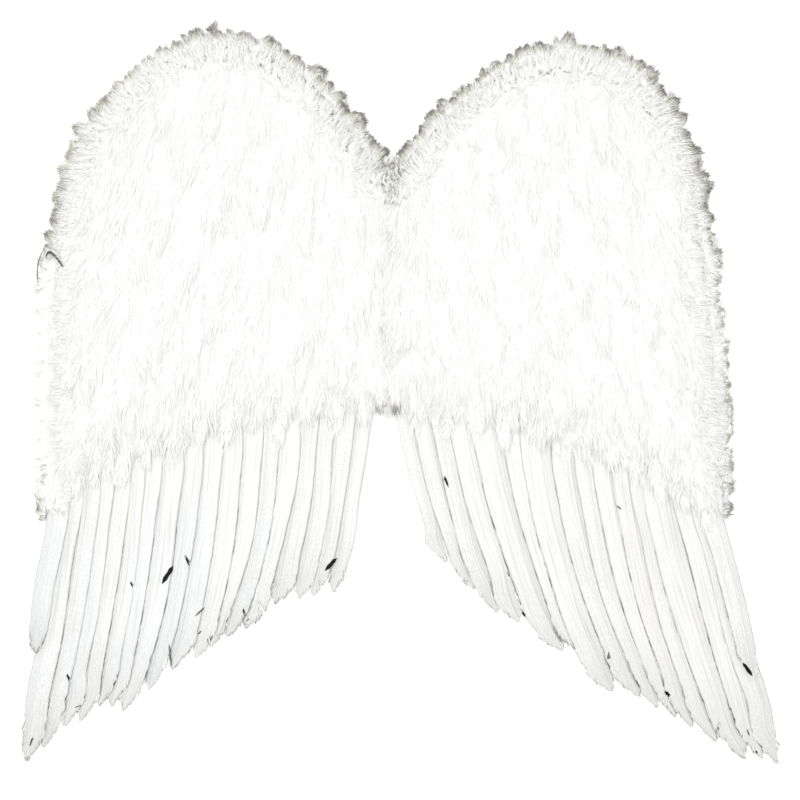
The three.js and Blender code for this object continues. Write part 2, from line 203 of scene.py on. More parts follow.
def noise(
    tree: bpy.types.NodeTree,
    place: bpy.types.NodeSocket,
    scale: float,
    detail: float,
    roughness: float = 0.5,
    distortion: float = 0.0,
) -> bpy.types.NodeSocket:
    """Adds an uneven pattern.

    Args:
        tree: The material's node tree.
        place: Where the pattern is read.
        scale: Features for each unit of place.
        detail: Number of finer layers.
        roughness: Strength of the finer layers.
        distortion: How far the pattern is stirred.

    Returns:
        The pattern's level, from 0 to 1.
    """
    inputs = {"Vector": place, "Scale": scale, "Detail": detail, "Roughness": roughness}
    return add_node(tree, "ShaderNodeTexNoise", inputs | {"Distortion": distortion}).outputs[0]


def set_surface(
    tree: bpy.types.NodeTree,
    shader: bpy.types.Node,
    colour: bpy.types.NodeSocket,
    roughness: bpy.types.NodeSocket,
    height: bpy.types.NodeSocket,
    bump: tuple[float, float],
) -> None:
    """Gives a shader its colour, roughness and relief.

    Args:
        tree: The material's node tree.
        shader: The shader.
        colour: Its colour.
        roughness: Its roughness.
        height: The relief's level.
        bump: The relief's strength and its depth in metres.
    """
    inputs = {"Height": height, "Strength": bump[0], "Distance": bump[1]}
    relief = add_node(tree, "ShaderNodeBump", inputs).outputs[0]
    for name, value in (("Base Color", colour), ("Roughness", roughness), ("Normal", relief)):
        tree.links.new(value, shader.inputs[name])


def unit(vectors: np.ndarray) -> np.ndarray:
    """Scales each vector in the last axis to a length of 1."""
    return vectors / np.maximum(np.linalg.norm(vectors, axis=-1, keepdims=True), TINY)


def smooth_through(rows: np.ndarray, knots: np.ndarray, at: np.ndarray) -> np.ndarray:
    """Follows a smooth curve through rows of values.

    Args:
        rows: One row of values for each knot.
        knots: Rising places of the rows.
        at: Places to read, of any shape.

    Returns:
        The values there, with the rows' columns as last axis.
    """
    slope = np.gradient(rows, knots, axis=0)
    index = np.clip(np.searchsorted(knots, at, side="right") - 1, 0, len(knots) - 2)
    span = (knots[index + 1] - knots[index])[..., None]
    t = (np.clip(at, knots[0], knots[-1]) - knots[index])[..., None] / span
    start = (2 * t**3 - 3 * t**2 + 1) * rows[index] + (t**3 - 2 * t**2 + t) * span * slope[index]
    end = (3 * t**2 - 2 * t**3) * rows[index + 1] + (t**3 - t**2) * span * slope[index + 1]
    return start + end


def merged_copy(node: str) -> bmesh.types.BMesh:
    """Copies a CAD node's mesh with its loose triangles joined at their corners.

    Args:
        node: Name of the CAD node.

    Returns:
        A new bmesh, which the caller frees.
    """
    bm = bmesh.new()
    bm.from_mesh(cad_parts[node].data)
    bmesh.ops.remove_doubles(bm, verts=bm.verts, dist=MERGE_DISTANCE)
    bm.normal_update()
    return bm


def add_object(name: str, mesh: bpy.types.Mesh, slot: Slot, *nodes: str) -> bpy.types.Object:
    """Puts a finished mesh in the scene as a piece of the wings.

    Args:
        name: The piece's name.
        mesh: Its mesh, in place.
        slot: The material slot that its finish belongs to; not used.
        nodes: CAD nodes that it stands for.

    Returns:
        The new object.
    """
    piece = bpy.data.objects.new(name, mesh)
    bpy.context.scene.collection.objects.link(piece)
    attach(piece, BODY)
    if nodes:
        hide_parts(*nodes)
    LOG.info("%s: %d faces", name, len(mesh.polygons))
    return piece


# What a quill feather's mesh holds at each point
QUILL_VALUES = ("barb_mm", "lateral", "cover_mm", "tipward", "shaft", "tone", "dusk", "crease")


@dataclass(frozen=True)
class QuillFinish:
    """Bleached goose quill, washed and combed: matt white vanes with fine slanting barbs, a smooth shaft.

    Ranges that end in along are shares of the feather's length, those in mm are distances from the
    edge of the feather that covers it, levels are those of an uneven pattern, and each pattern has its
    scale, its detail and its roughness.
    """

    white: str = "#e9e9e7"
    fresh: str = "#e6e6e5"
    warm: str = "#e3e2df"
    cool: str = "#dfe3e5"
    grey: str = "#c6c5c2"
    worn: str = "#8f8e8a"
    # Painted shade: the broken dark line along the edge of the feather that covers this one
    crevice: str = "#6c6b68"
    # Painted shadow, near black, beneath the feather that covers this one, seen where its barbs part
    depths: str = "#161615"
    horn: str = "#eceae3"
    fresh_along: tuple[float, float] = (0.2, 0.55)
    fresh_most: float = 0.9
    uneven_pattern: tuple[float, float, float] = (0.8, 3.0, 0.6)
    streak_levels: tuple[float, float] = (0.48, 0.75)
    streak_most: tuple[float, float] = (0.3, 0.8)
    band_stretch: tuple[float, float, float] = (0.9, 0.016, 9.0)
    band_pattern: tuple[float, float, float] = (1.0, 4.0, 0.5)
    band_levels: tuple[float, float] = (0.5, 0.7)
    band_most: float = 0.7
    wear_along: tuple[float, float] = (0.72, 1.0)
    wear_most: float = 0.5
    shadow_mm: tuple[float, float] = (0.0, 8.0)
    shadow_most: float = 0.4
    # Where the painted shade line is broken, how it fades in from the root and how far it reaches
    line_pattern: tuple[float, float, float] = (0.05, 6.0, 0.75)
    line_levels: tuple[float, float] = (0.42, 0.62)
    line_along: tuple[float, float] = (0.25, 0.65)
    line_mm: tuple[float, float] = (0.05, 0.85)
    depths_mm: tuple[float, float] = (-0.6, -2.2)
    barb_mm: float = 1.5
    barb_bump: tuple[float, float] = (0.5, 0.12 * MM)
    rough_levels: tuple[float, float] = (0.3, 0.7)
    roughness: tuple[float, float] = (0.48, 0.68)
    sheen: float = 0.15

    def material(self) -> bpy.types.Material:
        """Makes the finish. Real barbs are 0.4 mm apart, and are drawn coarser to show.

        Returns:
            The material.
        """
        material, tree, shader = new_material("goose_quill_bleached")
        values = [attribute(tree, name) for name in QUILL_VALUES]
        barb, lateral, cover, tipward, shaft, tone, dusk, _ = values
        colour = blend(tree, ramp(tree, tone, 0.0, -1.0), self.white, self.cool)
        colour = blend(tree, ramp(tree, tone, 0.0, 1.0), colour, self.warm)
        fresh = ramp(tree, tipward, *self.fresh_along, self.fresh_most, 0.0)
        colour = blend(tree, fresh, colour, self.fresh)
        place = add_node(tree, "ShaderNodeCombineXYZ", {0: lateral, 1: barb, 2: tone}).outputs[0]
        uneven = noise(tree, place, *self.uneven_pattern)
        streak_most = ramp(tree, dusk, 0.0, 1.0, *self.streak_most)
        streaks = ramp(tree, uneven, *self.streak_levels, 0.0, streak_most)
        stretched = add_node(
            tree, "ShaderNodeVectorMath", {0: place, 1: self.band_stretch}, operation="MULTIPLY"
        )
        bands = noise(tree, stretched.outputs[0], *self.band_pattern)
        bands = ramp(tree, bands, *self.band_levels, 0.0, self.band_most)
        colour = blend(tree, combine(tree, "MAXIMUM", streaks, bands), colour, self.grey)
        wear = ramp(tree, tipward, *self.wear_along, 0.0, self.wear_most)
        colour = blend(tree, combine(tree, "MULTIPLY", wear, uneven), colour, self.worn)
        # Soft painted shadow beside the covering feather's edge, as strong as the feather's dusk
        shadow = ramp(tree, cover, *self.shadow_mm, self.shadow_most, 0.0, "SMOOTHSTEP")
        colour = blend(tree, combine(tree, "MULTIPLY", shadow, dusk), colour, self.grey)
        colour = blend(tree, self.line(tree, values), colour, self.crevice)
        # Near-black painted shadow beneath the covering feather
        colour = blend(tree, ramp(tree, cover, *self.depths_mm, kind="SMOOTHSTEP"), colour, self.depths)
        colour = blend(tree, shaft, colour, self.horn)
        ridges = combine(tree, "SINE", combine(tree, "MULTIPLY", barb, 2 * math.pi / self.barb_mm))
        roughness = ramp(tree, uneven, *self.rough_levels, *self.roughness)
        set_surface(tree, shader, colour, roughness, ridges, self.barb_bump)
        shader.inputs["Sheen Weight"].default_value = self.sheen
        return material

    def line(self, tree: bpy.types.NodeTree, values: list[bpy.types.NodeSocket]) -> bpy.types.NodeSocket:
        """Draws the broken dark line of painted shade along the edge of the feather that covers this one.

        Args:
            tree: The material's node tree.
            values: What the feather's mesh holds.

        Returns:
            The painted shade line's strength.
        """
        barb, _, cover, tipward, _, tone, _, crease = values
        place = add_node(tree, "ShaderNodeCombineXYZ", {0: 0.0, 1: barb, 2: tone}).outputs[0]
        broken = noise(tree, place, *self.line_pattern)
        broken = ramp(tree, broken, *self.line_levels, 0.0, crease)
        strength = combine(tree, "MULTIPLY", broken, ramp(tree, tipward, *self.line_along))
        near = ramp(tree, cover, *self.line_mm, 1.0, 0.0, "SMOOTHSTEP")
        return combine(tree, "MULTIPLY", near, strength)


@dataclass(frozen=True)
class FluffFinish:
    """Loose down, fluffed by steam: each barb scatters light, so it is bright, matt and soft-edged."""

    name: str
    light: str
    middle: str
    dark: str
    roughness: tuple[float, float] = (0.9, 0.55)
    gloss: float = 0.5
    sheen: float = 0.2
    sheen_until: float = 0.8
    barbule_mm: float = 0.6
    barbule_detail: float = 2.0
    barbule_bump: tuple[float, float] = (0.2, 0.08 * MM)

    def material(self) -> bpy.types.Material:
        """Makes the finish, darker by the barbs' shade. Barbules are 0.1 mm apart, drawn coarser to show.

        Returns:
            The material.
        """
        material, tree, shader = new_material(self.name)
        shade = attribute(tree, "shade")
        colour = blend(tree, ramp(tree, shade, 0.0, 0.5), self.light, self.middle)
        colour = blend(tree, ramp(tree, shade, 0.5, 1.0), colour, self.dark)
        roughness = ramp(tree, shade, 0.0, 1.0, *self.roughness)
        place = add_node(tree, "ShaderNodeTexCoord").outputs["Object"]
        barbules = noise(tree, place, 1 / (self.barbule_mm * MM), self.barbule_detail)
        set_surface(tree, shader, colour, roughness, barbules, self.barbule_bump)
        sheen = ramp(tree, shade, 0.0, self.sheen_until, self.sheen, 0.0)
        tree.links.new(sheen, shader.inputs["Sheen Weight"])
        shader.inputs["Specular IOR Level"].default_value = self.gloss
        return material


@dataclass(frozen=True)
class FeltFinish:
    """Needle-punched polyester felt: a flat matt white with a faint tangle of fibres."""

    light: str = "#f3f1ec"
    dark: str = "#d9d6cf"
    fibre_mm: float = 0.8
    fibre_detail: float = 4.0
    stirred: float = 1.5
    bump: tuple[float, float] = (0.6, 0.2 * MM)
    rough_levels: tuple[float, float] = (0.3, 0.7)
    roughness: tuple[float, float] = (0.88, 1.0)

    def material(self) -> bpy.types.Material:
        """Makes the finish from a stirred tangle of fibres.

        Returns:
            The material.
        """
        material, tree, shader = new_material("polyester_felt_needle_punched")
        place = add_node(tree, "ShaderNodeTexCoord").outputs["Object"]
        fibres = 1 / (self.fibre_mm * MM)
        tangle = noise(tree, place, fibres, self.fibre_detail, distortion=self.stirred)
        colour = blend(tree, tangle, self.dark, self.light)
        roughness = ramp(tree, tangle, *self.rough_levels, *self.roughness)
        set_surface(tree, shader, colour, roughness, tangle, self.bump)
        return material


# Bands of the wave pattern in a length of pi, at a scale of 1
BANDS_IN_PI = 10


@dataclass(frozen=True)
class ElasticFinish:
    """Woven elastic webbing: white, with ribs across its length and a slight gloss on the yarn."""

    light: str = "#f6f6f3"
    dark: str = "#cfcec9"
    rib_mm: float = 1.4
    uneven: float = 0.4
    bump: tuple[float, float] = (0.7, 0.25 * MM)
    roughness: tuple[float, float] = (0.8, 0.6)

    def material(self) -> bpy.types.Material:
        """Makes the finish, with ribs that cross the strap along its length.

        Returns:
            The material.
        """
        material, tree, shader = new_material("elastic_webbing_woven")
        place = add_node(tree, "ShaderNodeTexCoord").outputs["Object"]
        scale = math.pi / (BANDS_IN_PI * self.rib_mm * MM)
        inputs = {"Vector": place, "Scale": scale, "Distortion": self.uneven}
        ribs = add_node(tree, "ShaderNodeTexWave", inputs, bands_direction="Y").outputs[1]
        colour = blend(tree, ribs, self.dark, self.light)
        roughness = ramp(tree, ribs, 0.0, 1.0, *self.roughness)
        set_surface(tree, shader, colour, roughness, ribs, self.bump)
        return material


# A barb's ribbon: how far along each pair of corners lies, and its share of the full width
RIBBON_ROWS = ((0.0, 0.75), (0.55, 1.0))


def ribbon_triangles(rows: int) -> np.ndarray:
    """Lists the corners of one ribbon's triangles.

    Args:
        rows: Pairs of corners before the tip.

    Returns:
        One row of three corner numbers for each triangle.
    """
    corners = []
    for left in range(0, 2 * (rows - 1), 2):
        corners.append((left, left + 3, left + 1))
        corners.append((left, left + 2, left + 3))
    last = 2 * (rows - 1)
    corners.append((last, last + 2, last + 1))
    return np.array(corners)


@dataclass
class Barbs:
    """Fine barbs of down, one row each: a bent ribbon that narrows to a point."""

    root: np.ndarray
    bend: np.ndarray
    tip: np.ndarray
    facing: np.ndarray
    width: np.ndarray
    root_shade: np.ndarray
    tip_shade: np.ndarray

    @classmethod
    def joined(cls, groups: list["Barbs"]) -> "Barbs":
        """All the barbs of several groups as one."""
        return cls(*(np.concatenate([getattr(group, f.name) for group in groups]) for f in fields(cls)))

    def mesh(self, name: str) -> bpy.types.Mesh:
        """Makes one mesh of all the barbs, with their shade as an attribute.

        Args:
            name: The mesh's name.

        Returns:
            The mesh.
        """
        corners = []
        shades = []
        for share, width in RIBBON_ROWS:
            spot = (1 - share) ** 2 * self.root + 2 * share * (1 - share) * self.bend + share**2 * self.tip
            along = (1 - share) * (self.bend - self.root) + share * (self.tip - self.bend)
            across = unit(np.cross(along, self.facing)) * (width / 2 * self.width)[:, None]
            corners.extend([spot + across, spot - across])
            shades.extend([self.root_shade + share**2 * (self.tip_shade - self.root_shade)] * 2)
        corners.append(self.tip)
        shades.append(self.tip_shade)
        points = np.stack(corners, axis=1)
        points[..., 2] = np.maximum(points[..., 2], FLOOR_CLEARANCE)
        triangles = ribbon_triangles(len(RIBBON_ROWS))
        first = points.shape[1] * np.arange(len(points))
        faces = (triangles[None] + first[:, None, None]).reshape(-1, 3)
        mesh = bpy.data.meshes.new(name)
        mesh.from_pydata(points.reshape(-1, 3), [], faces)
        shade = mesh.attributes.new("shade", "FLOAT", "POINT")
        shade.data.foreach_set("value", np.stack(shades, axis=1).reshape(-1).astype(np.float32))
        mesh.shade_smooth()
        return mesh


# How near the spine the notch is
NEAR_SPINE = 3 * MM
# Faces whose normal rises more than this are on the board's front
FACING_UP = 0.9


@dataclass
class BoardEdge:
    """One lobe's edge of the felt board, in even steps from the notch round to the lower outer corner."""

    side: Side
    points: np.ndarray
    out: np.ndarray
    along: np.ndarray
    length: float

    @classmethod
    def of(cls, side: Side, step: float = 1 * MM) -> "BoardEdge":
        """Reads the edge from the board's solid.

        Args:
            side: The lobe.
            step: Distance between points.

        Returns:
            The edge.
        """
        loop = cls.rim_loop()
        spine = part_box("plume_coat_left")[1].x
        near_spine = np.abs(loop[:, 0] - spine) < NEAR_SPINE
        notch = int(np.argmax(np.where(near_spine, loop[:, 1], -1)))
        loop = np.roll(loop, -notch, axis=0)
        if (loop[1, 0] - loop[0, 0]) * side.outward < 0:
            loop = np.roll(loop[::-1], 1, axis=0)
        on_side = (loop[:, 0] - spine) * side.outward > 0
        corner = int(np.argmin(np.where(on_side, loop[:, 1], 1)))
        line = loop[:corner + 1]
        knots = np.concatenate([[0], np.cumsum(np.linalg.norm(np.diff(line, axis=0), axis=1))])
        at = np.linspace(0, knots[-1], int(knots[-1] / step))
        points = smooth_through(line, knots, at)
        along = unit(np.gradient(points, axis=0))
        out = side.outward * np.stack([-along[:, 1], along[:, 0]], axis=1)
        return cls(side, points, out, along, float(knots[-1]))

    @staticmethod
    def rim_loop() -> np.ndarray:
        """Walks round the board's front.

        Returns:
            Its outline as points in order.
        """
        bm = merged_copy("wing_board")
        top = {face for face in bm.faces if face.normal.z > FACING_UP}
        rim = [edge for edge in bm.edges if sum(face in top for face in edge.link_faces) == 1]
        beside = {}
        for edge in rim:
            for vert in edge.verts:
                beside.setdefault(vert, []).append(edge.other_vert(vert))
        walk = [rim[0].verts[0]]
        previous = None
        while len(walk) < len(rim):
            following = [vert for vert in beside[walk[-1]] if vert is not previous]
            previous = walk[-1]
            walk.append(following[0])
        loop = np.array([vert.co.xy for vert in walk])
        bm.free()
        return loop

    def run_on(self, distance: float, way: tuple[float, float]) -> "BoardEdge":
        """Carries the edge straight on past the corner, along the outermost quill.

        Args:
            distance: How far.
            way: The direction.

        Returns:
            The longer edge.
        """
        step = self.length / (len(self.points) - 1)
        along = unit(np.array(way))
        out = self.side.outward * np.array([-along[1], along[0]])
        more = np.arange(step, distance, step)[:, None]
        return BoardEdge(
            self.side,
            np.concatenate([self.points, self.points[-1] + more * along]),
            np.concatenate([self.out, np.repeat(out[None], len(more), axis=0)]),
            np.concatenate([self.along, np.repeat(along[None], len(more), axis=0)]),
            self.length + len(more) * step,
        )

    def at(self, distance: np.ndarray) -> tuple[np.ndarray, np.ndarray, np.ndarray]:
        """Reads the edge at distances from the notch.

        Args:
            distance: The distances.

        Returns:
            Points, outward directions and lengthwise directions, level in the plan.
        """
        last = len(self.points) - 1
        index = np.clip(distance / self.length * last, 0, last).astype(int)
        flat = np.zeros((len(index), 1))
        return tuple(np.hstack([rows[index], flat]) for rows in (self.points, self.out, self.along))


class SolidTop:
    """The upper surface of a mesh, to lay things on."""

    def __init__(self, mesh: bpy.types.Mesh) -> None:
        """Reads the mesh.

        Args:
            mesh: The mesh, in place.
        """
        self.tree = BVHTree.FromPolygons(
            [vert.co for vert in mesh.vertices], [face.vertices for face in mesh.polygons]
        )

    def height(self, x: float, y: float) -> float | None:
        """The surface's height at a place, or None beside it."""
        spot = self.tree.ray_cast(Vector((x, y, 1.0)), Vector((0, 0, -1)))[0]
        return None if spot is None else spot.z


# A quill's solid has an upper and a lower corner at its outer edge, shaft and inner edge in each section
SECTION_CORNERS = 6
# Where along a feather its end starts to be fuller than the solid's, and where it is fullest
BLUNT_ALONG = (0.8, 0.95)


class QuillShape:
    """A quill's edges and shaft, smoothed through the sections of its solid."""

    def __init__(
        self,
        node: str,
        side: Side,
        rng: np.random.Generator,
        sway: float = 0.9 * MM,
        blunt: tuple[float, float] = (0.4, 1.2),
    ) -> None:
        """Reads the sections from the node's mesh.

        Args:
            node: Name of the CAD node.
            side: The wing that it is on.
            rng: Source of the feather's unevenness.
            sway: How far the feather wanders from the solid's even curve.
            blunt: How much fuller than the solid a feather's end is, at least and at most.
        """
        bm = merged_copy(node)
        corners = np.array([vert.co for vert in bm.verts])
        bm.free()
        axis = np.linalg.svd(corners - corners.mean(axis=0), full_matrices=False)[2][0]
        axis = axis * -np.sign(axis[1])
        across = side.outward * np.array([-axis[1], axis[0], 0.0])
        sections = corners[np.argsort(corners @ axis)].reshape(-1, SECTION_CORNERS, 3)
        order = np.argsort(sections @ across, axis=1)
        ranked = np.take_along_axis(sections, order[..., None], axis=1)
        self.inner = ranked[:, 0:2].mean(axis=1)
        self.outer = ranked[:, 4:6].mean(axis=1)
        self.shaft = ranked[:, 2:4].mean(axis=1)
        reach = (self.shaft - self.inner) @ across / ((self.outer - self.inner) @ across)
        self.shaft[:, 2] = self.inner[:, 2] + reach * (self.outer[:, 2] - self.inner[:, 2])
        wander = rng.normal(0, sway, len(self.shaft))
        wander[[0, 1, -2, -1]] = 0
        for rows in (self.inner, self.shaft, self.outer):
            rows += wander[:, None] * across
        steps = np.linalg.norm(np.diff(self.shaft, axis=0), axis=1)
        self.knots = np.concatenate([[0], np.cumsum(steps)])
        self.length = float(self.knots[-1])
        fuller = np.interp(self.knots / self.length, BLUNT_ALONG, (0, 1))
        fuller[-1] = 0
        for rows in (self.inner, self.outer):
            width = np.linalg.norm(rows - self.shaft, axis=1)
            full = np.minimum(width * (1 + rng.uniform(*blunt) * fuller), width.max())
            rows += (rows - self.shaft) * (full / np.maximum(width, TINY) - 1)[:, None]

    def line(self, rows: np.ndarray, at: np.ndarray) -> np.ndarray:
        """Points of the shaft or an edge at distances from the root."""
        return smooth_through(rows, self.knots, at)

    def outside(self, points: np.ndarray, steps: int = 80) -> np.ndarray:
        """Measures how far points lie outside the feather's outline in the plan.

        Args:
            points: Points to measure.
            steps: Number of points on each edge.

        Returns:
            Distances, negative under or over the feather.
        """
        at = np.linspace(0, self.length, steps)
        loop = np.concatenate([self.line(self.inner, at), self.line(self.outer, at)[::-1]])[:, :2]
        following = np.roll(loop, -1, axis=0)
        run = following - loop
        offset = points[:, None, :2] - loop[None]
        share = np.clip((offset * run).sum(axis=2) / np.maximum((run**2).sum(axis=1), TINY), 0, 1)
        gap = np.linalg.norm(offset - share[..., None] * run[None], axis=2).min(axis=1)
        spans = (loop[None, :, 1] > points[:, None, 1]) != (following[None, :, 1] > points[:, None, 1])
        climb = np.where(np.abs(run[:, 1]) < TINY, TINY, run[:, 1])
        crossing = loop[:, 0] + offset[..., 1] / climb * run[:, 0]
        inside = (spans & (points[:, None, 0] < crossing)).sum(axis=1) % 2 == 1
        return np.where(inside, -gap, gap)

    def share_along(self, points: np.ndarray, steps: int = 80) -> np.ndarray:
        """Finds the places on the shaft nearest to points in the plan.

        Args:
            points: Points beside the shaft.
            steps: Number of places on the shaft.

        Returns:
            Shares of the feather's length, from 0 at its root to 1 at its tip.
        """
        at = np.linspace(0, self.length, steps)
        shaft = self.line(self.shaft, at)[:, :2]
        gap = np.linalg.norm(points[:, None, :2] - shaft[None], axis=2)
        return at[gap.argmin(axis=1)] / self.length


# A vane's width in the pattern of its barbs, in mm, whatever its real width
LATERAL_MM = 12
# Distance from the covering feather, in mm, of a feather that has none
UNCOVERED_MM = 99.0
# Values that a mesh holds are rounded, so those as near as this are the same
SAME_MM = 1e-3
SAME_SHARE = 1e-6
# Shade of a dark tip, which is painted shade wherever it is used
SPECK_SHADE = 0.95


@dataclass
class Split:
    """A place where a vane's barbs have parted."""

    inner: bool
    share: float
    depth: float
    gap: float


@dataclass
class QuillFeather:
    """One long quill feather: a slim shaft with a vane of slanting barbs on each side."""

    node: str
    shape: QuillShape
    cover: QuillShape | None
    tone: float
    dusk: float
    crease: float
    fray_dark: float
    seed: int
    splits: list[Split]
    rows: int = 132
    outer_columns: int = 6
    inner_columns: int = 8
    outer_slant: float = 1.5
    inner_slant: float = 1.2
    shaft_root: float = 0.95 * MM
    shaft_tip: float = 0.3 * MM
    shaft_most: float = 0.5
    inner_curl: float = 1.5 * MM
    outer_curl: float = 0.3 * MM
    full_width: float = 6 * MM
    wave: float = 0.3 * MM
    wave_per_m: tuple[float, float] = (55.0, 130.0)
    small_wave: float = 0.6
    ridge: float = 0.8
    ragged: float = 0.1
    ragged_tip: float = 5.0
    ragged_along: tuple[float, float] = (0.75, 1.0)
    tuft_rows: int = 3
    tuft_share: float = 0.7
    split_fade: float = 9 * MM
    thickness: float = 0.25 * MM
    # Where the painted shade line fades out near the tip of the feather that covers this one
    crease_end: float = 0.95
    crease_fade: float = 0.13
    fray_from: float = 0.86
    fray_barbs: int = 34
    fray_length: tuple[float, float] = (2.5 * MM, 6 * MM)
    fray_width: float = 0.7 * MM
    fray_widths: tuple[float, float] = (0.6, 1.4)
    fray_lift: float = 0.25 * MM
    fray_aside: float = 0.3 * MM
    fray_tipward: float = 0.8
    fray_behind: float = 0.8
    fray_ahead: float = 0.5
    fray_shade: tuple[float, float] = (0.05, 0.25)
    fray_dusk: float = 0.6

    def build(self, material: bpy.types.Material) -> bpy.types.Object:
        """Makes the feather and lays it where its solid is.

        Args:
            material: The feather's finish.

        Returns:
            The feather's object.
        """
        reach = self.columns()
        points, station, start = self.lattice(reach)
        values = self.values(points, station, start, reach)
        bm = bmesh.new()
        columns = reach.shape[1]
        bmesh.ops.create_grid(bm, x_segments=columns - 1, y_segments=self.rows - 1, size=1.0)
        layers = [bm.verts.layers.float.new(name) for name in QUILL_VALUES]
        for vert in bm.verts:
            column = round((vert.co.x + 1) / 2 * (columns - 1))
            row = round((vert.co.y + 1) / 2 * (self.rows - 1))
            for layer, value in zip(layers, values):
                vert[layer] = float(value[row, column])
            vert.co = Vector(points[row, column])
        bm.normal_update()
        if sum(face.normal.z for face in bm.faces) < 0:
            bmesh.ops.reverse_faces(bm, faces=bm.faces)
        self.part_barbs(bm, layers[0], layers[1], start)
        mesh = bpy.data.meshes.new(self.node + "_feather")
        bm.to_mesh(mesh)
        bm.free()
        mesh.shade_smooth()
        mesh.materials.append(material)
        piece = add_object(self.node + "_feather", mesh, Slot.QUILL, self.node)
        solid = piece.modifiers.new("vane_thickness", "SOLIDIFY")
        solid.thickness = self.thickness
        solid.offset = 0.0
        return piece

    def values(
        self, points: np.ndarray, station: np.ndarray, start: np.ndarray, reach: np.ndarray
    ) -> list[np.ndarray]:
        """Works out what the mesh holds for the finish at each point.

        Args:
            points: The feather's points.
            station: Their distances along the shaft.
            start: Each row's start on the shaft.
            reach: Shares of the way to the edge.

        Returns:
            One array for each of the quill's values, in their order.
        """
        shape = reach.shape
        cover = np.full(shape, UNCOVERED_MM)
        crease = np.zeros(shape)
        if self.cover:
            # Distances from the covering feather's edge, and the strength of the painted shade line along it
            flat = points.reshape(-1, 3)
            cover = self.cover.outside(flat).reshape(shape) / MM
            share = self.cover.share_along(flat).reshape(shape)
            crease = self.crease * np.clip((self.crease_end - share) / self.crease_fade, 0, 1)
        on_shaft = np.zeros(shape)
        on_shaft[:, self.outer_columns + 1] = 1.0
        return [
            np.broadcast_to(start[:, None] / MM, shape),
            reach * LATERAL_MM,
            cover,
            station / self.shape.length,
            on_shaft,
            np.full(shape, self.tone),
            np.full(shape, self.dusk),
            crease,
        ]

    def columns(self) -> np.ndarray:
        """Spaces the columns out from the outer edge to the inner, with the shaft between its two sides.

        Returns:
            Shares of the way to the edge for each row's columns, negative on the outer vane.
        """
        widths = self.widths(np.linspace(0, self.shape.length, self.rows))
        radius = np.linspace(self.shaft_root, self.shaft_tip, self.rows)
        outer_start = np.minimum(radius / widths[0], self.shaft_most)
        inner_start = np.minimum(radius / widths[1], self.shaft_most)
        outward = np.linspace(1, 0, self.outer_columns, endpoint=False)
        inward = np.linspace(1, 0, self.inner_columns, endpoint=False)[::-1]
        return np.concatenate(
            [
                -(outer_start[:, None] + (1 - outer_start[:, None]) * outward[None]),
                -outer_start[:, None],
                np.zeros((self.rows, 1)),
                inner_start[:, None],
                inner_start[:, None] + (1 - inner_start[:, None]) * inward[None],
            ],
            axis=1,
        )

    def widths(self, at: np.ndarray) -> tuple[np.ndarray, np.ndarray]:
        """Measures the vanes.

        Args:
            at: Distances from the root.

        Returns:
            The outer and the inner vane's widths there.
        """
        shaft = self.shape.line(self.shape.shaft, at)
        outer = np.linalg.norm(self.shape.line(self.shape.outer, at) - shaft, axis=-1)
        inner = np.linalg.norm(self.shape.line(self.shape.inner, at) - shaft, axis=-1)
        return outer, inner

    def lattice(self, reach: np.ndarray) -> tuple[np.ndarray, np.ndarray, np.ndarray]:
        """Places the feather's points: each row runs out along its barbs, which slant to the tip.

        Args:
            reach: Shares of the way to the edge, negative on the outer vane.

        Returns:
            The points, their distances along the shaft, and each row's start on the shaft.
        """
        rng = np.random.default_rng(self.seed)
        shape = self.shape
        start = np.linspace(0, shape.length, self.rows)
        outer_width, inner_width = self.widths(start)
        is_inner = reach > 0
        inner_run = self.inner_slant * inner_width[:, None]
        run = np.where(is_inner, inner_run, self.outer_slant * outer_width[:, None])
        left = np.maximum(shape.length - start, MERGE_DISTANCE)[:, None]
        station = start[:, None] + left * (1 - np.exp(-run * np.abs(reach) / left))
        station = station + self.opened(reach, start)
        station = np.clip(station, 0, shape.length)
        shaft = shape.line(shape.shaft, station)
        inner_edge = shape.line(shape.inner, station)
        edge = np.where(is_inner[..., None], inner_edge, shape.line(shape.outer, station))
        frayed = np.abs(reach) * (1 - self.fray(rng, start, reach))
        points = shaft + frayed[..., None] * (edge - shaft)
        curl = np.where(is_inner, self.inner_curl, self.outer_curl) * reach**2
        full = np.clip(np.maximum(outer_width, inner_width) / self.full_width, 0, 1)[:, None]
        phase = rng.uniform(0, 2 * math.pi, 3)
        sway = np.sin(station * self.wave_per_m[0] + phase[0])
        sway = sway + self.small_wave * np.sin(station * self.wave_per_m[1] + phase[1] + 2 * reach)
        points[..., 2] += full * (self.wave * sway * reach - curl)
        shaft_radius = np.linspace(self.shaft_root, self.shaft_tip, self.rows)
        points[:, self.outer_columns + 1, 2] += shaft_radius * self.ridge
        return points, station, start

    def fray(self, rng: np.random.Generator, start: np.ndarray, reach: np.ndarray) -> np.ndarray:
        """Shortens the barbs, in tufts that stick together, more towards the tip.

        Args:
            rng: Source of the unevenness.
            start: Each row's start on the shaft.
            reach: Shares of the way to the edge.

        Returns:
            How much shorter each barb is, as a share of its reach.
        """
        tufts = np.repeat(rng.uniform(0, 1, self.rows // self.tuft_rows + 1), self.tuft_rows)[:self.rows]
        single = rng.uniform(0, 1, self.rows)
        uneven = self.tuft_share * tufts + (1 - self.tuft_share) * single
        tipward = np.interp(start / self.shape.length, self.ragged_along, (0, self.ragged_tip))
        amount = self.ragged * (0.5 + tipward)
        return (uneven * amount)[:, None] * np.clip(np.abs(reach) * 2 - 1, 0, 1)

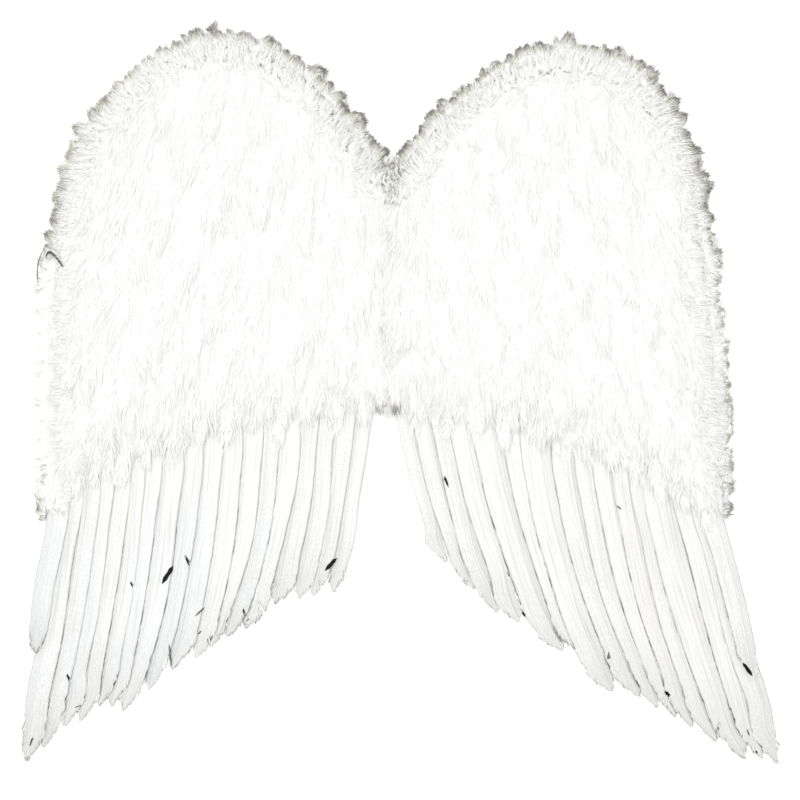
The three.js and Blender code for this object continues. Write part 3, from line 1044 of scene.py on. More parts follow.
    def opened(self, reach: np.ndarray, start: np.ndarray) -> np.ndarray:
        """Pushes the barbs beside each split apart along the shaft.

        Args:
            reach: Shares of the way to the edge.
            start: Each row's start on the shaft.

        Returns:
            How far each point is pushed.
        """
        shift = np.zeros_like(reach)
        for split in self.splits:
            place = split.share * self.shape.length
            same_vane = (reach > 0) if split.inner else (reach < 0)
            out = np.clip((np.abs(reach) - (1 - split.depth)) / split.depth, 0, 1) * same_vane
            offset = (start - place)[:, None]
            fade = np.exp(-np.abs(offset) / self.split_fade)
            shift += np.where(offset > 0, 1, -1) * split.gap / 2 * out * fade
        return shift

    def part_barbs(
        self,
        bm: bmesh.types.BMesh,
        barb: bmesh.types.BMLayerItem,
        lateral: bmesh.types.BMLayerItem,
        start: np.ndarray,
    ) -> None:
        """Takes out the faces that bridge a split.

        Args:
            bm: The feather's mesh.
            barb: Layer with each vertex's start on the shaft.
            lateral: Layer with each vertex's reach.
            start: Each row's start on the shaft.
        """
        bridges = set()
        for split in self.splits:
            row = int(np.searchsorted(start, split.share * self.shape.length))
            low, high = start[row - 1] / MM, start[row] / MM
            for face in bm.faces:
                starts = [vert[barb] for vert in face.verts]
                reaches = [vert[lateral] / LATERAL_MM * (1 if split.inner else -1) for vert in face.verts]
                between = abs(min(starts) - low) < SAME_MM and abs(max(starts) - high) < SAME_MM
                if between and min(reaches) > 1 - split.depth - SAME_SHARE:
                    bridges.add(face)
        bmesh.ops.delete(bm, geom=list(bridges), context="FACES")

    def frayed_tip(self, rng: np.random.Generator) -> Barbs:
        """Makes the loose barbs at the feather's worn end, some of them dark as painted shade in its gaps.

        Args:
            rng: Source of the unevenness.

        Returns:
            The barbs.
        """
        count = self.fray_barbs
        middle = self.outer_columns + 1
        points = self.lattice(self.columns())[0]
        rows = rng.integers(int(self.fray_from * self.rows), self.rows - 1, count)
        inner = rng.uniform(0, 1, count)[:, None] < 0.5
        edge = np.where(inner, points[rows, -1], points[rows, 0])
        before = np.where(inner, points[rows, -3], points[rows, 2])
        way = unit(edge - before + rng.normal(0, self.fray_aside, edge.shape))
        way = unit(way + self.fray_tipward * unit(points[-1, middle] - points[rows, middle]))
        length = rng.uniform(*self.fray_length, (count, 1))
        # The dark barbs are painted shade in the gaps of the worn end
        dark = rng.uniform(0, 1, count) < self.fray_dark
        lightest, darkest = self.fray_shade
        plain = rng.uniform(lightest, darkest + self.fray_dusk * self.fray_dark, count)
        shade = np.where(dark, SPECK_SHADE, plain)
        raised = edge + UP * self.fray_lift
        return Barbs(
            root=raised - self.fray_behind * length * way,
            bend=raised,
            tip=raised + self.fray_ahead * length * way,
            facing=np.repeat(UP[None], count, axis=0),
            width=self.fray_width * rng.uniform(*self.fray_widths, count),
            root_shade=0.5 * shade,
            tip_shade=shade,
        )


@dataclass(frozen=True)
class PaintedShadowWisp:
    """A dark wisp of painted shadow that stands for a deep gap between two feathers, placed in the plan."""

    root: tuple[float, float]
    tip: tuple[float, float]
    width: float
    shade: float = 1.0
    strands: int = 6
    spread: float = 0.13
    reaches: tuple[float, float] = (0.5, 1.0)
    widths: tuple[float, float] = (0.35, 0.7)
    lift: float = 1.3 * MM
    widest: float = 0.6

    def barbs(self, rng: np.random.Generator, tops: list[SolidTop]) -> Barbs:
        """Lays the wisp's strands on the uppermost feathers.

        Args:
            rng: Source of the wisp's unevenness.
            tops: Upper surfaces of the fan's feathers.

        Returns:
            The strands.
        """
        ends = [self.on_top(np.array(spot) * MM, tops) for spot in (self.root, self.tip)]
        middle = ends[0] + self.widest * (ends[1] - ends[0])
        across = unit(np.cross(UP, ends[1] - ends[0]))
        groups = []
        for end in ends:
            aside = rng.normal(0, self.spread * self.width, (self.strands, 1)) * across
            reach = rng.uniform(*self.reaches, (self.strands, 1)) * (end - middle)
            aside[0] = 0
            reach[0] = end - middle
            groups.append(
                Barbs(
                    root=middle + aside,
                    bend=middle + aside + reach / 2,
                    tip=middle + aside / 3 + reach,
                    facing=np.repeat(UP[None], self.strands, axis=0),
                    width=self.width * rng.uniform(*self.widths, self.strands),
                    root_shade=np.full(self.strands, self.shade),
                    tip_shade=np.full(self.strands, self.shade),
                )
            )
        return Barbs.joined(groups)

    def on_top(self, spot: np.ndarray, tops: list[SolidTop]) -> np.ndarray:
        """Finds the point just above the uppermost feather.

        Args:
            spot: A place in the plan.
            tops: Upper surfaces of the feathers.

        Returns:
            The point over the place.
        """
        heights = [top.height(spot[0], spot[1]) for top in tops]
        highest = max([height for height in heights if height is not None], default=FLOOR_CLEARANCE)
        return np.array([*spot, highest + self.lift])


@dataclass
class QuillFan:
    """One wing's row of quill feathers, each with its inner side over the next feather in."""

    side: Side
    count: int
    tones: tuple[float, ...]
    parted: dict[str, list[Split]]
    wisps: tuple[PaintedShadowWisp, ...]
    seed: int
    splits_each: float = 0.05
    split_inner: float = 0.6
    split_first: float = 0.45
    split_run: float = 0.5
    split_skew: tuple[float, float] = (5.0, 2.0)
    split_depth: tuple[float, float] = (0.3, 0.7)
    split_gap: tuple[float, float] = (0.5 * MM, 1.4 * MM)
    tip_splits_each: float = 0.7
    tip_split_inner: float = 0.5
    tip_split_along: tuple[float, float] = (0.86, 0.97)
    tip_split_depth: tuple[float, float] = (0.4, 0.8)
    tip_split_gap: tuple[float, float] = (0.6 * MM, 1.8 * MM)
    tone_spread: float = 0.5
    dusk_power: float = 1.6
    dusky_outermost: int = 2
    dusky_innermost: int = 3
    # Strength of each feather's painted shade line
    creases: tuple[float, float] = (0.25, 1.25)
    # Shares of the dark barbs, which are painted shade, at a feather's worn end
    fray_dark: tuple[float, ...] = (0.1, 0.3, 0.6)

    def build(self, material: bpy.types.Material, frayed: bpy.types.Material) -> list[bpy.types.Object]:
        """Makes the fan from its outermost feather in.

        Args:
            material: The feathers' finish.
            frayed: The finish of the loose barbs at their ends and of the dark wisps of painted shadow.

        Returns:
            The fan's objects.
        """
        rng = np.random.default_rng(self.seed)
        order = range(1, self.count + 1) if self.side is Side.LEFT else range(self.count, 0, -1)
        nodes = [f"quill_{self.side.value}_{number:02d}" for number in order]
        shapes = [QuillShape(node, self.side, rng) for node in nodes]
        pieces = []
        ends = []
        for place, (node, shape) in enumerate(zip(nodes, shapes)):
            share = place / (self.count - 1)
            # Dusk sets how strong a feather's barb streaks and its painted shadow beside the covering
            # feather are
            dusky = place < self.dusky_outermost or place >= self.count - self.dusky_innermost
            dusk = 1.0 if dusky else float(rng.uniform(0.0, 1.0) ** self.dusk_power)
            tone = float(np.interp(share, np.linspace(0, 1, len(self.tones)), self.tones))
            feather = QuillFeather(
                node=node,
                shape=shape,
                cover=shapes[place - 1] if place else None,
                tone=tone + float(rng.uniform(-self.tone_spread, self.tone_spread)),
                dusk=dusk,
                crease=float(rng.uniform(*self.creases)),
                fray_dark=float(rng.choice(self.fray_dark)),
                seed=self.seed * 100 + place,
                splits=self.parted.get(node, []) + self.small_splits(rng) + self.tip_splits(rng),
            )
            pieces.append(feather.build(material))
            ends.append(feather.frayed_tip(rng))
        tops = [SolidTop(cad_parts[node].data) for node in nodes]
        # Dark wisps of painted shadow where deep gaps show between the feathers
        ends.extend(wisp.barbs(rng, tops) for wisp in self.wisps)
        name = f"quill_{self.side.value}_frayed_tips_and_painted_shadow"
        mesh = Barbs.joined(ends).mesh(name)
        mesh.materials.append(frayed)
        pieces.append(add_object(name, mesh, Slot.QUILL, *nodes))
        return pieces

    def small_splits(self, rng: np.random.Generator) -> list[Split]:
        """Chooses where a feather's barbs have parted a little, mostly in its lower half.

        Args:
            rng: Source of the choice.

        Returns:
            The splits.
        """
        return [
            Split(
                inner=bool(rng.uniform() < self.split_inner),
                share=float(rng.beta(*self.split_skew) * self.split_run + self.split_first),
                depth=float(rng.uniform(*self.split_depth)),
                gap=float(rng.uniform(*self.split_gap)),
            )
            for _ in range(rng.poisson(self.splits_each))
        ]

    def tip_splits(self, rng: np.random.Generator) -> list[Split]:
        """Chooses where a feather's worn tip has come apart.

        Args:
            rng: Source of the choice.

        Returns:
            The splits.
        """
        return [
            Split(
                inner=bool(rng.uniform() < self.tip_split_inner),
                share=float(rng.uniform(*self.tip_split_along)),
                depth=float(rng.uniform(*self.tip_split_depth)),
                gap=float(rng.uniform(*self.tip_split_gap)),
            )
            for _ in range(rng.poisson(self.tip_splits_each))
        ]


@dataclass(frozen=True)
class PlumeStyle:
    """How the barbs of a downy plume leave its bent shaft.

    Angles are in radians, shades are those of the barbs' roots and tips, and ranges of lengths and
    widths are shares of the usual ones.
    """

    count: int
    barb_length: float
    width: float
    shades: tuple[float, float]
    first_barb: float = 0.03
    opening: tuple[float, float] = (math.radians(28), math.radians(8))
    opening_spread: float = 0.1
    bow: tuple[float, float] = (0.3, -0.15)
    end_length: float = 0.55
    lengths: tuple[float, float] = (0.75, 1.15)
    widths: tuple[float, float] = (0.7, 1.2)
    rise: tuple[float, float] = (-0.01, 0.045)
    facing_spread: float = 0.1
    shade_spread: float = 0.06

    def plume(self, rng: np.random.Generator, path: np.ndarray) -> Barbs:
        """Makes one plume, with barbs on both sides of its shaft.

        Args:
            rng: Source of the plume's unevenness.
            path: Where the shaft starts, the point that it bends towards and where it ends.

        Returns:
            The barbs.
        """
        count = self.count
        root, bend, tip = path
        t = np.sort(rng.uniform(self.first_barb, 1.0, count))[:, None]
        base = (1 - t) ** 2 * root + 2 * t * (1 - t) * bend + t**2 * tip
        along = unit((1 - t) * (bend - root) + t * (tip - bend))
        hand = np.where(np.arange(count) % 2 == 0, 1.0, -1.0)[:, None]
        lateral = unit(np.cross(UP, along)) * hand
        angle = self.opening[0] + t * (self.opening[1] - self.opening[0])
        angle = angle + rng.normal(0, self.opening_spread, (count, 1))
        fuller = self.end_length + (1 - self.end_length) * np.sin(np.pi * t)
        length = self.barb_length * fuller * rng.uniform(*self.lengths, (count, 1))
        rise = rng.uniform(*self.rise, (count, 1)) * UP
        out, back = (angle + turn for turn in self.bow)
        bent = base + length * 0.5 * (np.cos(out) * along + np.sin(out) * lateral + rise)
        end = base + length * (np.cos(back) * along + np.sin(back) * lateral + rise)
        facing = unit(UP + rng.normal(0, self.facing_spread, (count, 3)))
        uneven = rng.uniform(-self.shade_spread, self.shade_spread, count)
        return Barbs(
            root=base,
            bend=bent,
            tip=end,
            facing=facing,
            width=self.width * rng.uniform(*self.widths, count),
            root_shade=np.clip(self.shades[0] + uneven, 0, 1),
            tip_shade=np.clip(self.shades[1] + uneven, 0, 1),
        )


@dataclass(frozen=True)
class TuftStyle:
    """How the barbs of a tuft of fluff fan out from a point.

    Spread, curl, scatter and lengths are shares of the tuft's length, shades are those of the barbs'
    roots and tips, and specks is the share of barbs with a dark tip.
    """

    count: int
    spread: float
    curl: float
    width: float
    shades: tuple[float, float]
    specks: float = 0.0
    shortest: float = 0.55
    longest: float = 1.08
    scatter: float = 0.05
    bend_along: float = 0.55
    widths: tuple[float, float] = (0.7, 1.2)
    facing_spread: float = 0.25
    shade_spread: float = 0.08

    def tuft(self, rng: np.random.Generator, root: np.ndarray, reach: np.ndarray) -> Barbs:
        """Makes one tuft.

        Args:
            rng: Source of the tuft's unevenness.
            root: Where the barbs start.
            reach: From there to the tuft's end.

        Returns:
            The barbs.
        """
        count = self.count
        length = np.linalg.norm(reach)
        fan = reach * rng.uniform(self.shortest, self.longest, (count, 1))
        fan = fan + rng.normal(0, self.spread * length, (count, 3))
        start = root + rng.normal(0, self.scatter * length, (count, 3))
        swing = rng.normal(0, self.curl * length, (count, 3))
        uneven = rng.normal(0, self.shade_spread, count)
        dark = rng.uniform(0, 1, count) < self.specks
        tip_shade = np.where(dark, SPECK_SHADE, self.shades[1] + uneven)
        return Barbs(
            root=start,
            bend=start + self.bend_along * fan + swing,
            tip=start + fan,
            facing=unit(UP + rng.normal(0, self.facing_spread, (count, 3))),
            width=self.width * rng.uniform(*self.widths, count),
            root_shade=np.clip(self.shades[0] + uneven, 0, 1),
            tip_shade=np.clip(tip_shade, 0, 1),
        )


@dataclass(frozen=True)
class StrayPlume:
    """A plume that has come loose and arches over the edge, its shaded rim painted as a dark arc.

    Its path, in mm, is where the shaft starts, the point that it bends towards and where it ends.
    """

    path_mm: tuple[tuple[float, float, float], ...]
    shaft_width: float
    shaft_ends: float = 0.35
    shaft_lift: float = 1.5 * MM
    pieces: int = 12
    style: PlumeStyle = PlumeStyle(60, 7 * MM, 0.35 * MM, (0.1, 0.02))

    def barbs(self, rng: np.random.Generator) -> Barbs:
        """Makes the dark arc of painted shade and the plume's barbs.

        Args:
            rng: Source of the plume's unevenness.

        Returns:
            The barbs, with the dark arc as a chain of wider ones.
        """
        path = np.array(self.path_mm) * MM
        t = np.linspace(0, 1, self.pieces + 1)[:, None]
        line = (1 - t) ** 2 * path[0] + 2 * t * (1 - t) * path[1] + t**2 * path[2] + UP * self.shaft_lift
        wider = self.shaft_ends + (1 - self.shaft_ends) * np.sin(np.pi * t[:-1, 0])
        # Painted shade: a dark arc along the curled plume's rim
        shaft = Barbs(
            root=line[:-1],
            bend=(line[:-1] + line[1:]) / 2,
            tip=line[1:] + 0.5 * np.diff(line, axis=0),
            facing=np.repeat(UP[None], self.pieces, axis=0),
            width=self.shaft_width * wider,
            root_shade=np.full(self.pieces, SPECK_SHADE),
            tip_shade=np.full(self.pieces, SPECK_SHADE),
        )
        return Barbs.joined([self.style.plume(rng, path), shaft])


# How far a spike goes towards its neighbours each time that it is worn down
WEAR = 0.5


def soft_core(
    node: str, inset: float, rounds: int, shade: float, worn_down: int = 0, hanging_draw: float = 0.0
) -> bpy.types.Mesh:
    """Makes the dense inside of a fluffy piece from its solid, drawn in and levelled under the fluff.

    Args:
        node: Name of the CAD node.
        inset: How far it is drawn in.
        rounds: How often each point takes the mean height of its neighbours.
        shade: The core's shade.
        worn_down: How often its spikes are worn down.
        hanging_draw: How many times further the hanging ends of the locks are drawn in.

    Returns:
        The mesh.
    """
    bm = merged_copy(node)
    for _ in range(worn_down):
        bmesh.ops.smooth_vert(
            bm, verts=bm.verts, factor=WEAR, use_axis_x=True, use_axis_y=True, use_axis_z=True
        )
    bm.normal_update()
    drawn_in = [
        vert.co - vert.normal * inset * (1 + hanging_draw * max(0, -vert.normal.y)) for vert in bm.verts
    ]
    for vert, place in zip(bm.verts, drawn_in):
        vert.co = place
    for _ in range(rounds):
        heights = []
        for vert in bm.verts:
            around = [edge.other_vert(vert).co.z for edge in vert.link_edges]
            heights.append((vert.co.z + sum(around)) / (1 + len(around)))
        for vert, height in zip(bm.verts, heights):
            vert.co.z = height
    mesh = bpy.data.meshes.new(node + "_core")
    bm.to_mesh(mesh)
    bm.free()
    values = mesh.attributes.new("shade", "FLOAT", "POINT")
    values.data.foreach_set("value", np.full(len(mesh.vertices), shade, np.float32))
    mesh.shade_smooth()
    return mesh


@dataclass
class PlumeCoat:
    """One lobe's coat of white down: rows of plumes that hang down and fan out, over a dense core.

    Ranges named in the plural are shares of the length or height before them.
    """

    side: Side
    edge: BoardEdge
    seed: int
    top: SolidTop = field(init=False)
    spine: float = field(init=False)
    core_inset: float = 0.4 * MM
    core_rounds: int = 3
    # Painted shade: the core is a little grey where it shows between the plumes
    core_shade: float = 0.15
    core_worn_down: int = 2
    hanging_draw: float = 4.0
    top_inset: float = 2 * MM
    row_pitch: float = 10.5 * MM
    column_pitch: float = 8.5 * MM
    out_of_row: float = 0.45
    plume_length: float = 46 * MM
    plume_lengths: tuple[float, float] = (0.75, 1.15)
    plume_style: PlumeStyle = PlumeStyle(54, 28 * MM, 0.42 * MM, (0.04, 0.0))
    short_plume: float = 0.2
    root_depth: float = 0.5 * MM
    lift: float = 0.7 * MM
    lifts: tuple[float, float] = (0.4, 1.4)
    arch: float = 1.4
    lean_per_m: float = 0.85
    lean_spread: float = 0.1
    shade: tuple[float, float] = (0.05, 0.06)
    shade_most: float = 0.4
    # Shares of a plume's random shade at its root and tip: the root takes more, as painted shade under the
    # plumes above
    shade_shares: tuple[float, float] = (0.6, 0.3)
    hem_steps: int = 9
    hem_overhang: tuple[float, float] = (2 * MM, 16 * MM)
    hem_droop: float = 9 * MM
    quill_height: float = 11 * MM
    seam_band: float = 16 * MM
    seam_shorter: float = 8 * MM
    rim_start: float = 8 * MM
    rim_pitch: float = 2.0 * MM
    rim_inset: tuple[float, float] = (5 * MM, 15 * MM)
    rim_aside: tuple[float, float] = (0.0, 0.5)
    rim_rise: tuple[float, float] = (0.0, 0.25)
    rim_reach: float = 13 * MM
    rim_reaches: tuple[float, float] = (0.7, 1.25)
    rim_style: TuftStyle = TuftStyle(15, 0.16, 0.08, 0.42 * MM, (0.02, 0.02))
    parting_start: float = 4 * MM
    parting_pitch: float = 1.9 * MM
    parting_inset: tuple[float, float] = (2 * MM, 24 * MM)
    parting_rise: tuple[float, float] = (0.0, 0.3)
    parting_reach: float = 15 * MM
    parting_reaches: tuple[float, float] = (0.6, 1.2)
    parting_depth: float = 0.3 * MM
    parting_style: TuftStyle = TuftStyle(14, 0.2, 0.1, 0.42 * MM, (0.02, 0.0))
    fillings: int = 420
    filling_above: float = 20 * MM
    filling_aside: float = 0.25
    filling_reach: tuple[float, float] = (16 * MM, 24 * MM)
    filling_style: TuftStyle = TuftStyle(12, 0.12, 0.06, 0.7 * MM, (0.02, 0.0))
    seam_pitch: float = 1.0 * MM
    seam_beside: tuple[float, float] = (1 * MM, 14 * MM)
    seam_across: tuple[float, float] = (0.2, 0.9)
    seam_reach: tuple[float, float] = (13 * MM, 20 * MM)
    seam_style: TuftStyle = TuftStyle(14, 0.12, 0.08, 0.42 * MM, (0.08, 0.02))
    tuft_rise: float = 0.05
    foot_tufts: int = 46
    foot_tip: tuple[float, float, float] = (5.5 * MM, -15 * MM, 17 * MM)
    foot_above: tuple[float, float] = (15 * MM, 26 * MM)
    foot_spread: tuple[float, float] = (2.2 * MM, 1.5 * MM)
    foot_lift: float = 1.5
    foot_uneven: tuple[tuple[float, float], ...] = ((-2 * MM, 4 * MM), (-2 * MM, 3 * MM))
    foot_style: TuftStyle = TuftStyle(5, 0.02, 0.02, 1.1 * MM, (0.0, 1.0), 0.0, 0.9)

    def __post_init__(self) -> None:
        """Reads the coat's surface and the place of the spine from its solid."""
        low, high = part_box(self.node)
        self.top = SolidTop(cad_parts[self.node].data)
        self.spine = low.x if self.side is Side.RIGHT else high.x

    @property
    def node(self) -> str:
        """The coat's CAD node."""
        return f"plume_coat_{self.side.value}"

    def build(self, material: bpy.types.Material) -> list[bpy.types.Object]:
        """Makes the core and the plumes on it.

        Args:
            material: The down's finish.

        Returns:
            The coat's objects.
        """
        rng = np.random.default_rng(self.seed)
        core = soft_core(
            self.node,
            self.core_inset,
            self.core_rounds,
            self.core_shade,
            self.core_worn_down,
            self.hanging_draw,
        )
        groups = self.hanging_plumes(rng) + self.rim_tufts(rng) + self.parting_tufts(rng)
        groups = groups + self.filling_tufts(rng) + self.seam_tufts(rng) + self.seam_foot(rng)
        plumes = Barbs.joined(groups).mesh(self.node + "_plumes")
        pieces = []
        for mesh in (core, plumes):
            mesh.materials.append(material)
            pieces.append(add_object(mesh.name, mesh, Slot.DOWN, self.node))
        return pieces

    def level(self, spot: np.ndarray) -> float | None:
        """Finds the height that plumes lie at.

        Args:
            spot: A place in the plan.

        Returns:
            The coat's surface, carried level over the seam at the spine, or None beside the coat.
        """
        ground = self.top.height(*spot)
        if abs(spot[0] - self.spine) < self.seam_band:
            beside = self.top.height(self.spine + self.side.outward * self.seam_band, spot[1])
            if ground is not None and beside is not None:
                return max(ground, beside)
        return ground

    def hanging_plumes(self, rng: np.random.Generator) -> list[Barbs]:
        """Lays the rows of plumes over the coat's surface, the lowest over the quills.

        Args:
            rng: Source of the rows' unevenness.

        Returns:
            One group of barbs for each plume.
        """
        low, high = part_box(self.node)
        groups = []
        for row, y in enumerate(np.arange(high.y - self.top_inset, low.y, -self.row_pitch)):
            shift = self.column_pitch / 2 * (row % 2)
            for x in np.arange(low.x + shift, high.x, self.column_pitch):
                aside = rng.uniform(-self.out_of_row, self.out_of_row, 2)
                spot = np.array([x, y]) + aside * self.column_pitch
                if self.top.height(*spot) is not None:
                    groups.append(self.hanging_plume(rng, spot))
        return groups

    def hanging_plume(self, rng: np.random.Generator, spot: np.ndarray) -> Barbs:
        """Makes one plume that hangs from a spot on the coat.

        Args:
            rng: Source of the plume's unevenness.
            spot: Where the plume starts, in the plan.

        Returns:
            The plume's barbs.
        """
        ground = self.top.height(*spot)
        lean = self.lean_per_m * (spot[0] - self.spine) + rng.normal(0, self.lean_spread)
        way = np.array([math.sin(lean), -math.cos(lean)])
        length = self.plume_length * rng.uniform(*self.plume_lengths)
        reach = self.within_hem(rng, spot, way, length)
        middle = spot + way * reach / 2
        end = spot + way * reach
        middle_ground = self.level(middle) or ground
        lift = self.lift * rng.uniform(*self.lifts)
        end_ground = self.level(end)
        if end_ground is None:
            end_ground = max(middle_ground - self.hem_droop, self.quill_height)
        # A random tone for each plume, darker at its root as painted shade under the plumes above
        shade = float(np.clip(rng.normal(*self.shade), 0, self.shade_most))
        heights = (ground - self.root_depth, middle_ground + self.arch * lift, end_ground + lift)
        path = np.array([[*place, height] for place, height in zip((spot, middle, end), heights)])
        usual = self.plume_style
        shorter = min(1.0, reach / self.plume_length + self.short_plume)
        shades = tuple(share * shade + base for share, base in zip(self.shade_shares, usual.shades))
        style = replace(usual, barb_length=usual.barb_length * shorter, shades=shades)
        return style.plume(rng, path)

    def within_hem(
        self, rng: np.random.Generator, spot: np.ndarray, way: np.ndarray, length: float
    ) -> float:
        """Shortens a plume that would hang too far past the coat's hem.

        Args:
            rng: Source of the hem's unevenness.
            spot: Where the plume starts.
            way: Its direction.
            length: Its full length.

        Returns:
            The length that it keeps.
        """
        steps = np.linspace(0, length, self.hem_steps)
        last = max(step for step in steps if self.top.height(*(spot + way * step)) is not None)
        if abs(spot[0] - self.spine) < self.seam_band:
            return max(min(length, last - self.seam_shorter), self.seam_shorter)
        return min(length, max(last + rng.uniform(*self.hem_overhang), self.seam_shorter))

    def rim_tufts(self, rng: np.random.Generator) -> list[Barbs]:
        """Sets short tufts along the rim, which reach out over the trim.

        Args:
            rng: Source of the tufts' unevenness.

        Returns:
            One group of barbs for each tuft.
        """
        groups = []
        spots, outs, alongs = self.edge.at(np.arange(self.rim_start, self.edge.length, self.rim_pitch))
        for spot, out, along in zip(spots, outs, alongs):
            root = spot - out * rng.uniform(*self.rim_inset)
            ground = self.top.height(root[0], root[1])
            if ground is None:
                continue
            way = unit(out + along * rng.uniform(*self.rim_aside) + UP * rng.uniform(*self.rim_rise))
            reach = self.rim_reach * rng.uniform(*self.rim_reaches) * way
            groups.append(self.rim_style.tuft(rng, root + UP * ground, reach))
        return groups

    def parting_tufts(self, rng: np.random.Generator) -> list[Barbs]:
        """Sets tufts that lie every way where the hanging plumes and the rim's tufts part.

        Args:
            rng: Source of the tufts' unevenness.

        Returns:
            One group of barbs for each tuft.
        """
        groups = []
        spots, outs, _ = self.edge.at(np.arange(self.parting_start, self.edge.length, self.parting_pitch))
        for spot, out in zip(spots, outs):
            root = spot - out * rng.uniform(*self.parting_inset)
            ground = self.top.height(root[0], root[1])
            if ground is None:
                continue
            turn = rng.uniform(0, 2 * math.pi)
            way = unit(np.array([math.cos(turn), math.sin(turn), rng.uniform(*self.parting_rise)]))
            reach = self.parting_reach * rng.uniform(*self.parting_reaches) * way
            groups.append(self.parting_style.tuft(rng, root + UP * (ground - self.parting_depth), reach))
        return groups

    def filling_tufts(self, rng: np.random.Generator) -> list[Barbs]:
        """Scatters short hanging tufts over the coat, which close the gaps between the plumes.

        Args:
            rng: Source of the tufts' places and unevenness.

        Returns:
            One group of barbs for each tuft.
        """
        groups = []
        low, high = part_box(self.node)
        while len(groups) < self.fillings:
            spot = np.array([rng.uniform(low.x, high.x), rng.uniform(low.y + self.filling_above, high.y)])
            ground = self.level(spot)
            if ground is None:
                continue
            way = unit(np.array([rng.normal(0, self.filling_aside), -1.0, self.tuft_rise]))
            reach = way * rng.uniform(*self.filling_reach)
            groups.append(self.filling_style.tuft(rng, np.array([*spot, ground]), reach))
        return groups

    def seam_tufts(self, rng: np.random.Generator) -> list[Barbs]:
        """Sets tufts beside the spine that reach down and across it, so that the two coats look like one.

        Args:
            rng: Source of the tufts' unevenness.

        Returns:
            One group of barbs for each tuft.
        """
        groups = []
        low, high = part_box(self.node)
        for y in np.arange(low.y, high.y, self.seam_pitch):
            spot = np.array([self.spine + self.side.outward * rng.uniform(*self.seam_beside), y])
            ground = self.level(spot)
            if ground is None:
                continue
            way = unit(np.array([-self.side.outward * rng.uniform(*self.seam_across), -1.0, self.tuft_rise]))
            reach = way * rng.uniform(*self.seam_reach)
            groups.append(self.seam_style.tuft(rng, np.array([*spot, ground]), reach))
        return groups

    def seam_foot(self, rng: np.random.Generator) -> list[Barbs]:
        """Hangs a lock with painted shade at its tips on this side of the gap below where the two coats
        meet.

        Args:
            rng: Source of the lock's unevenness.

        Returns:
            One group of barbs for each tuft of the lock.
        """
        groups = []
        aside, y, height = self.foot_tip
        tip = np.array([self.spine + self.side.outward * aside, y, height])
        root_spread, end_spread = self.foot_spread
        for _ in range(self.foot_tufts):
            root = tip + np.array([rng.normal(0, root_spread), rng.uniform(*self.foot_above), 0])
            ground = self.level(root[:2])
            if ground is None:
                continue
            root[2] = ground + self.foot_lift * self.lift
            uneven = [rng.normal(0, end_spread)] + [rng.uniform(*limits) for limits in self.foot_uneven]
            groups.append(self.foot_style.tuft(rng, root, tip + np.array(uneven) - root))
        return groups


@dataclass(frozen=True)
class TrimPlace:
    """How the trim looks at a distance along the edge from the notch.

    The grey of painted shade fades in over the band from the outline, and lie turns the barbs from straight
    out to lengthwise.
    """

    distance: float
    grey: float
    reach: float
    band: float
    thickness: float = 1.0
    ragged: float = 1.0
    lie: float = 0.35


# The looks that change along the trim
TRIM_LOOKS = ("grey", "reach", "band", "thickness", "ragged", "lie")
# Where the trim is less ragged than this its fluff lies flat
PLAIN_BELOW = 0.4


@dataclass
class TrimSpot:
    """The place of one tuft on the edge, the trim's look there and how it leans to its clump."""

    place: np.ndarray
    out: np.ndarray
    along: np.ndarray
    look: TrimPlace
    aside: float
    clump_reach: float
    clump_lean: float


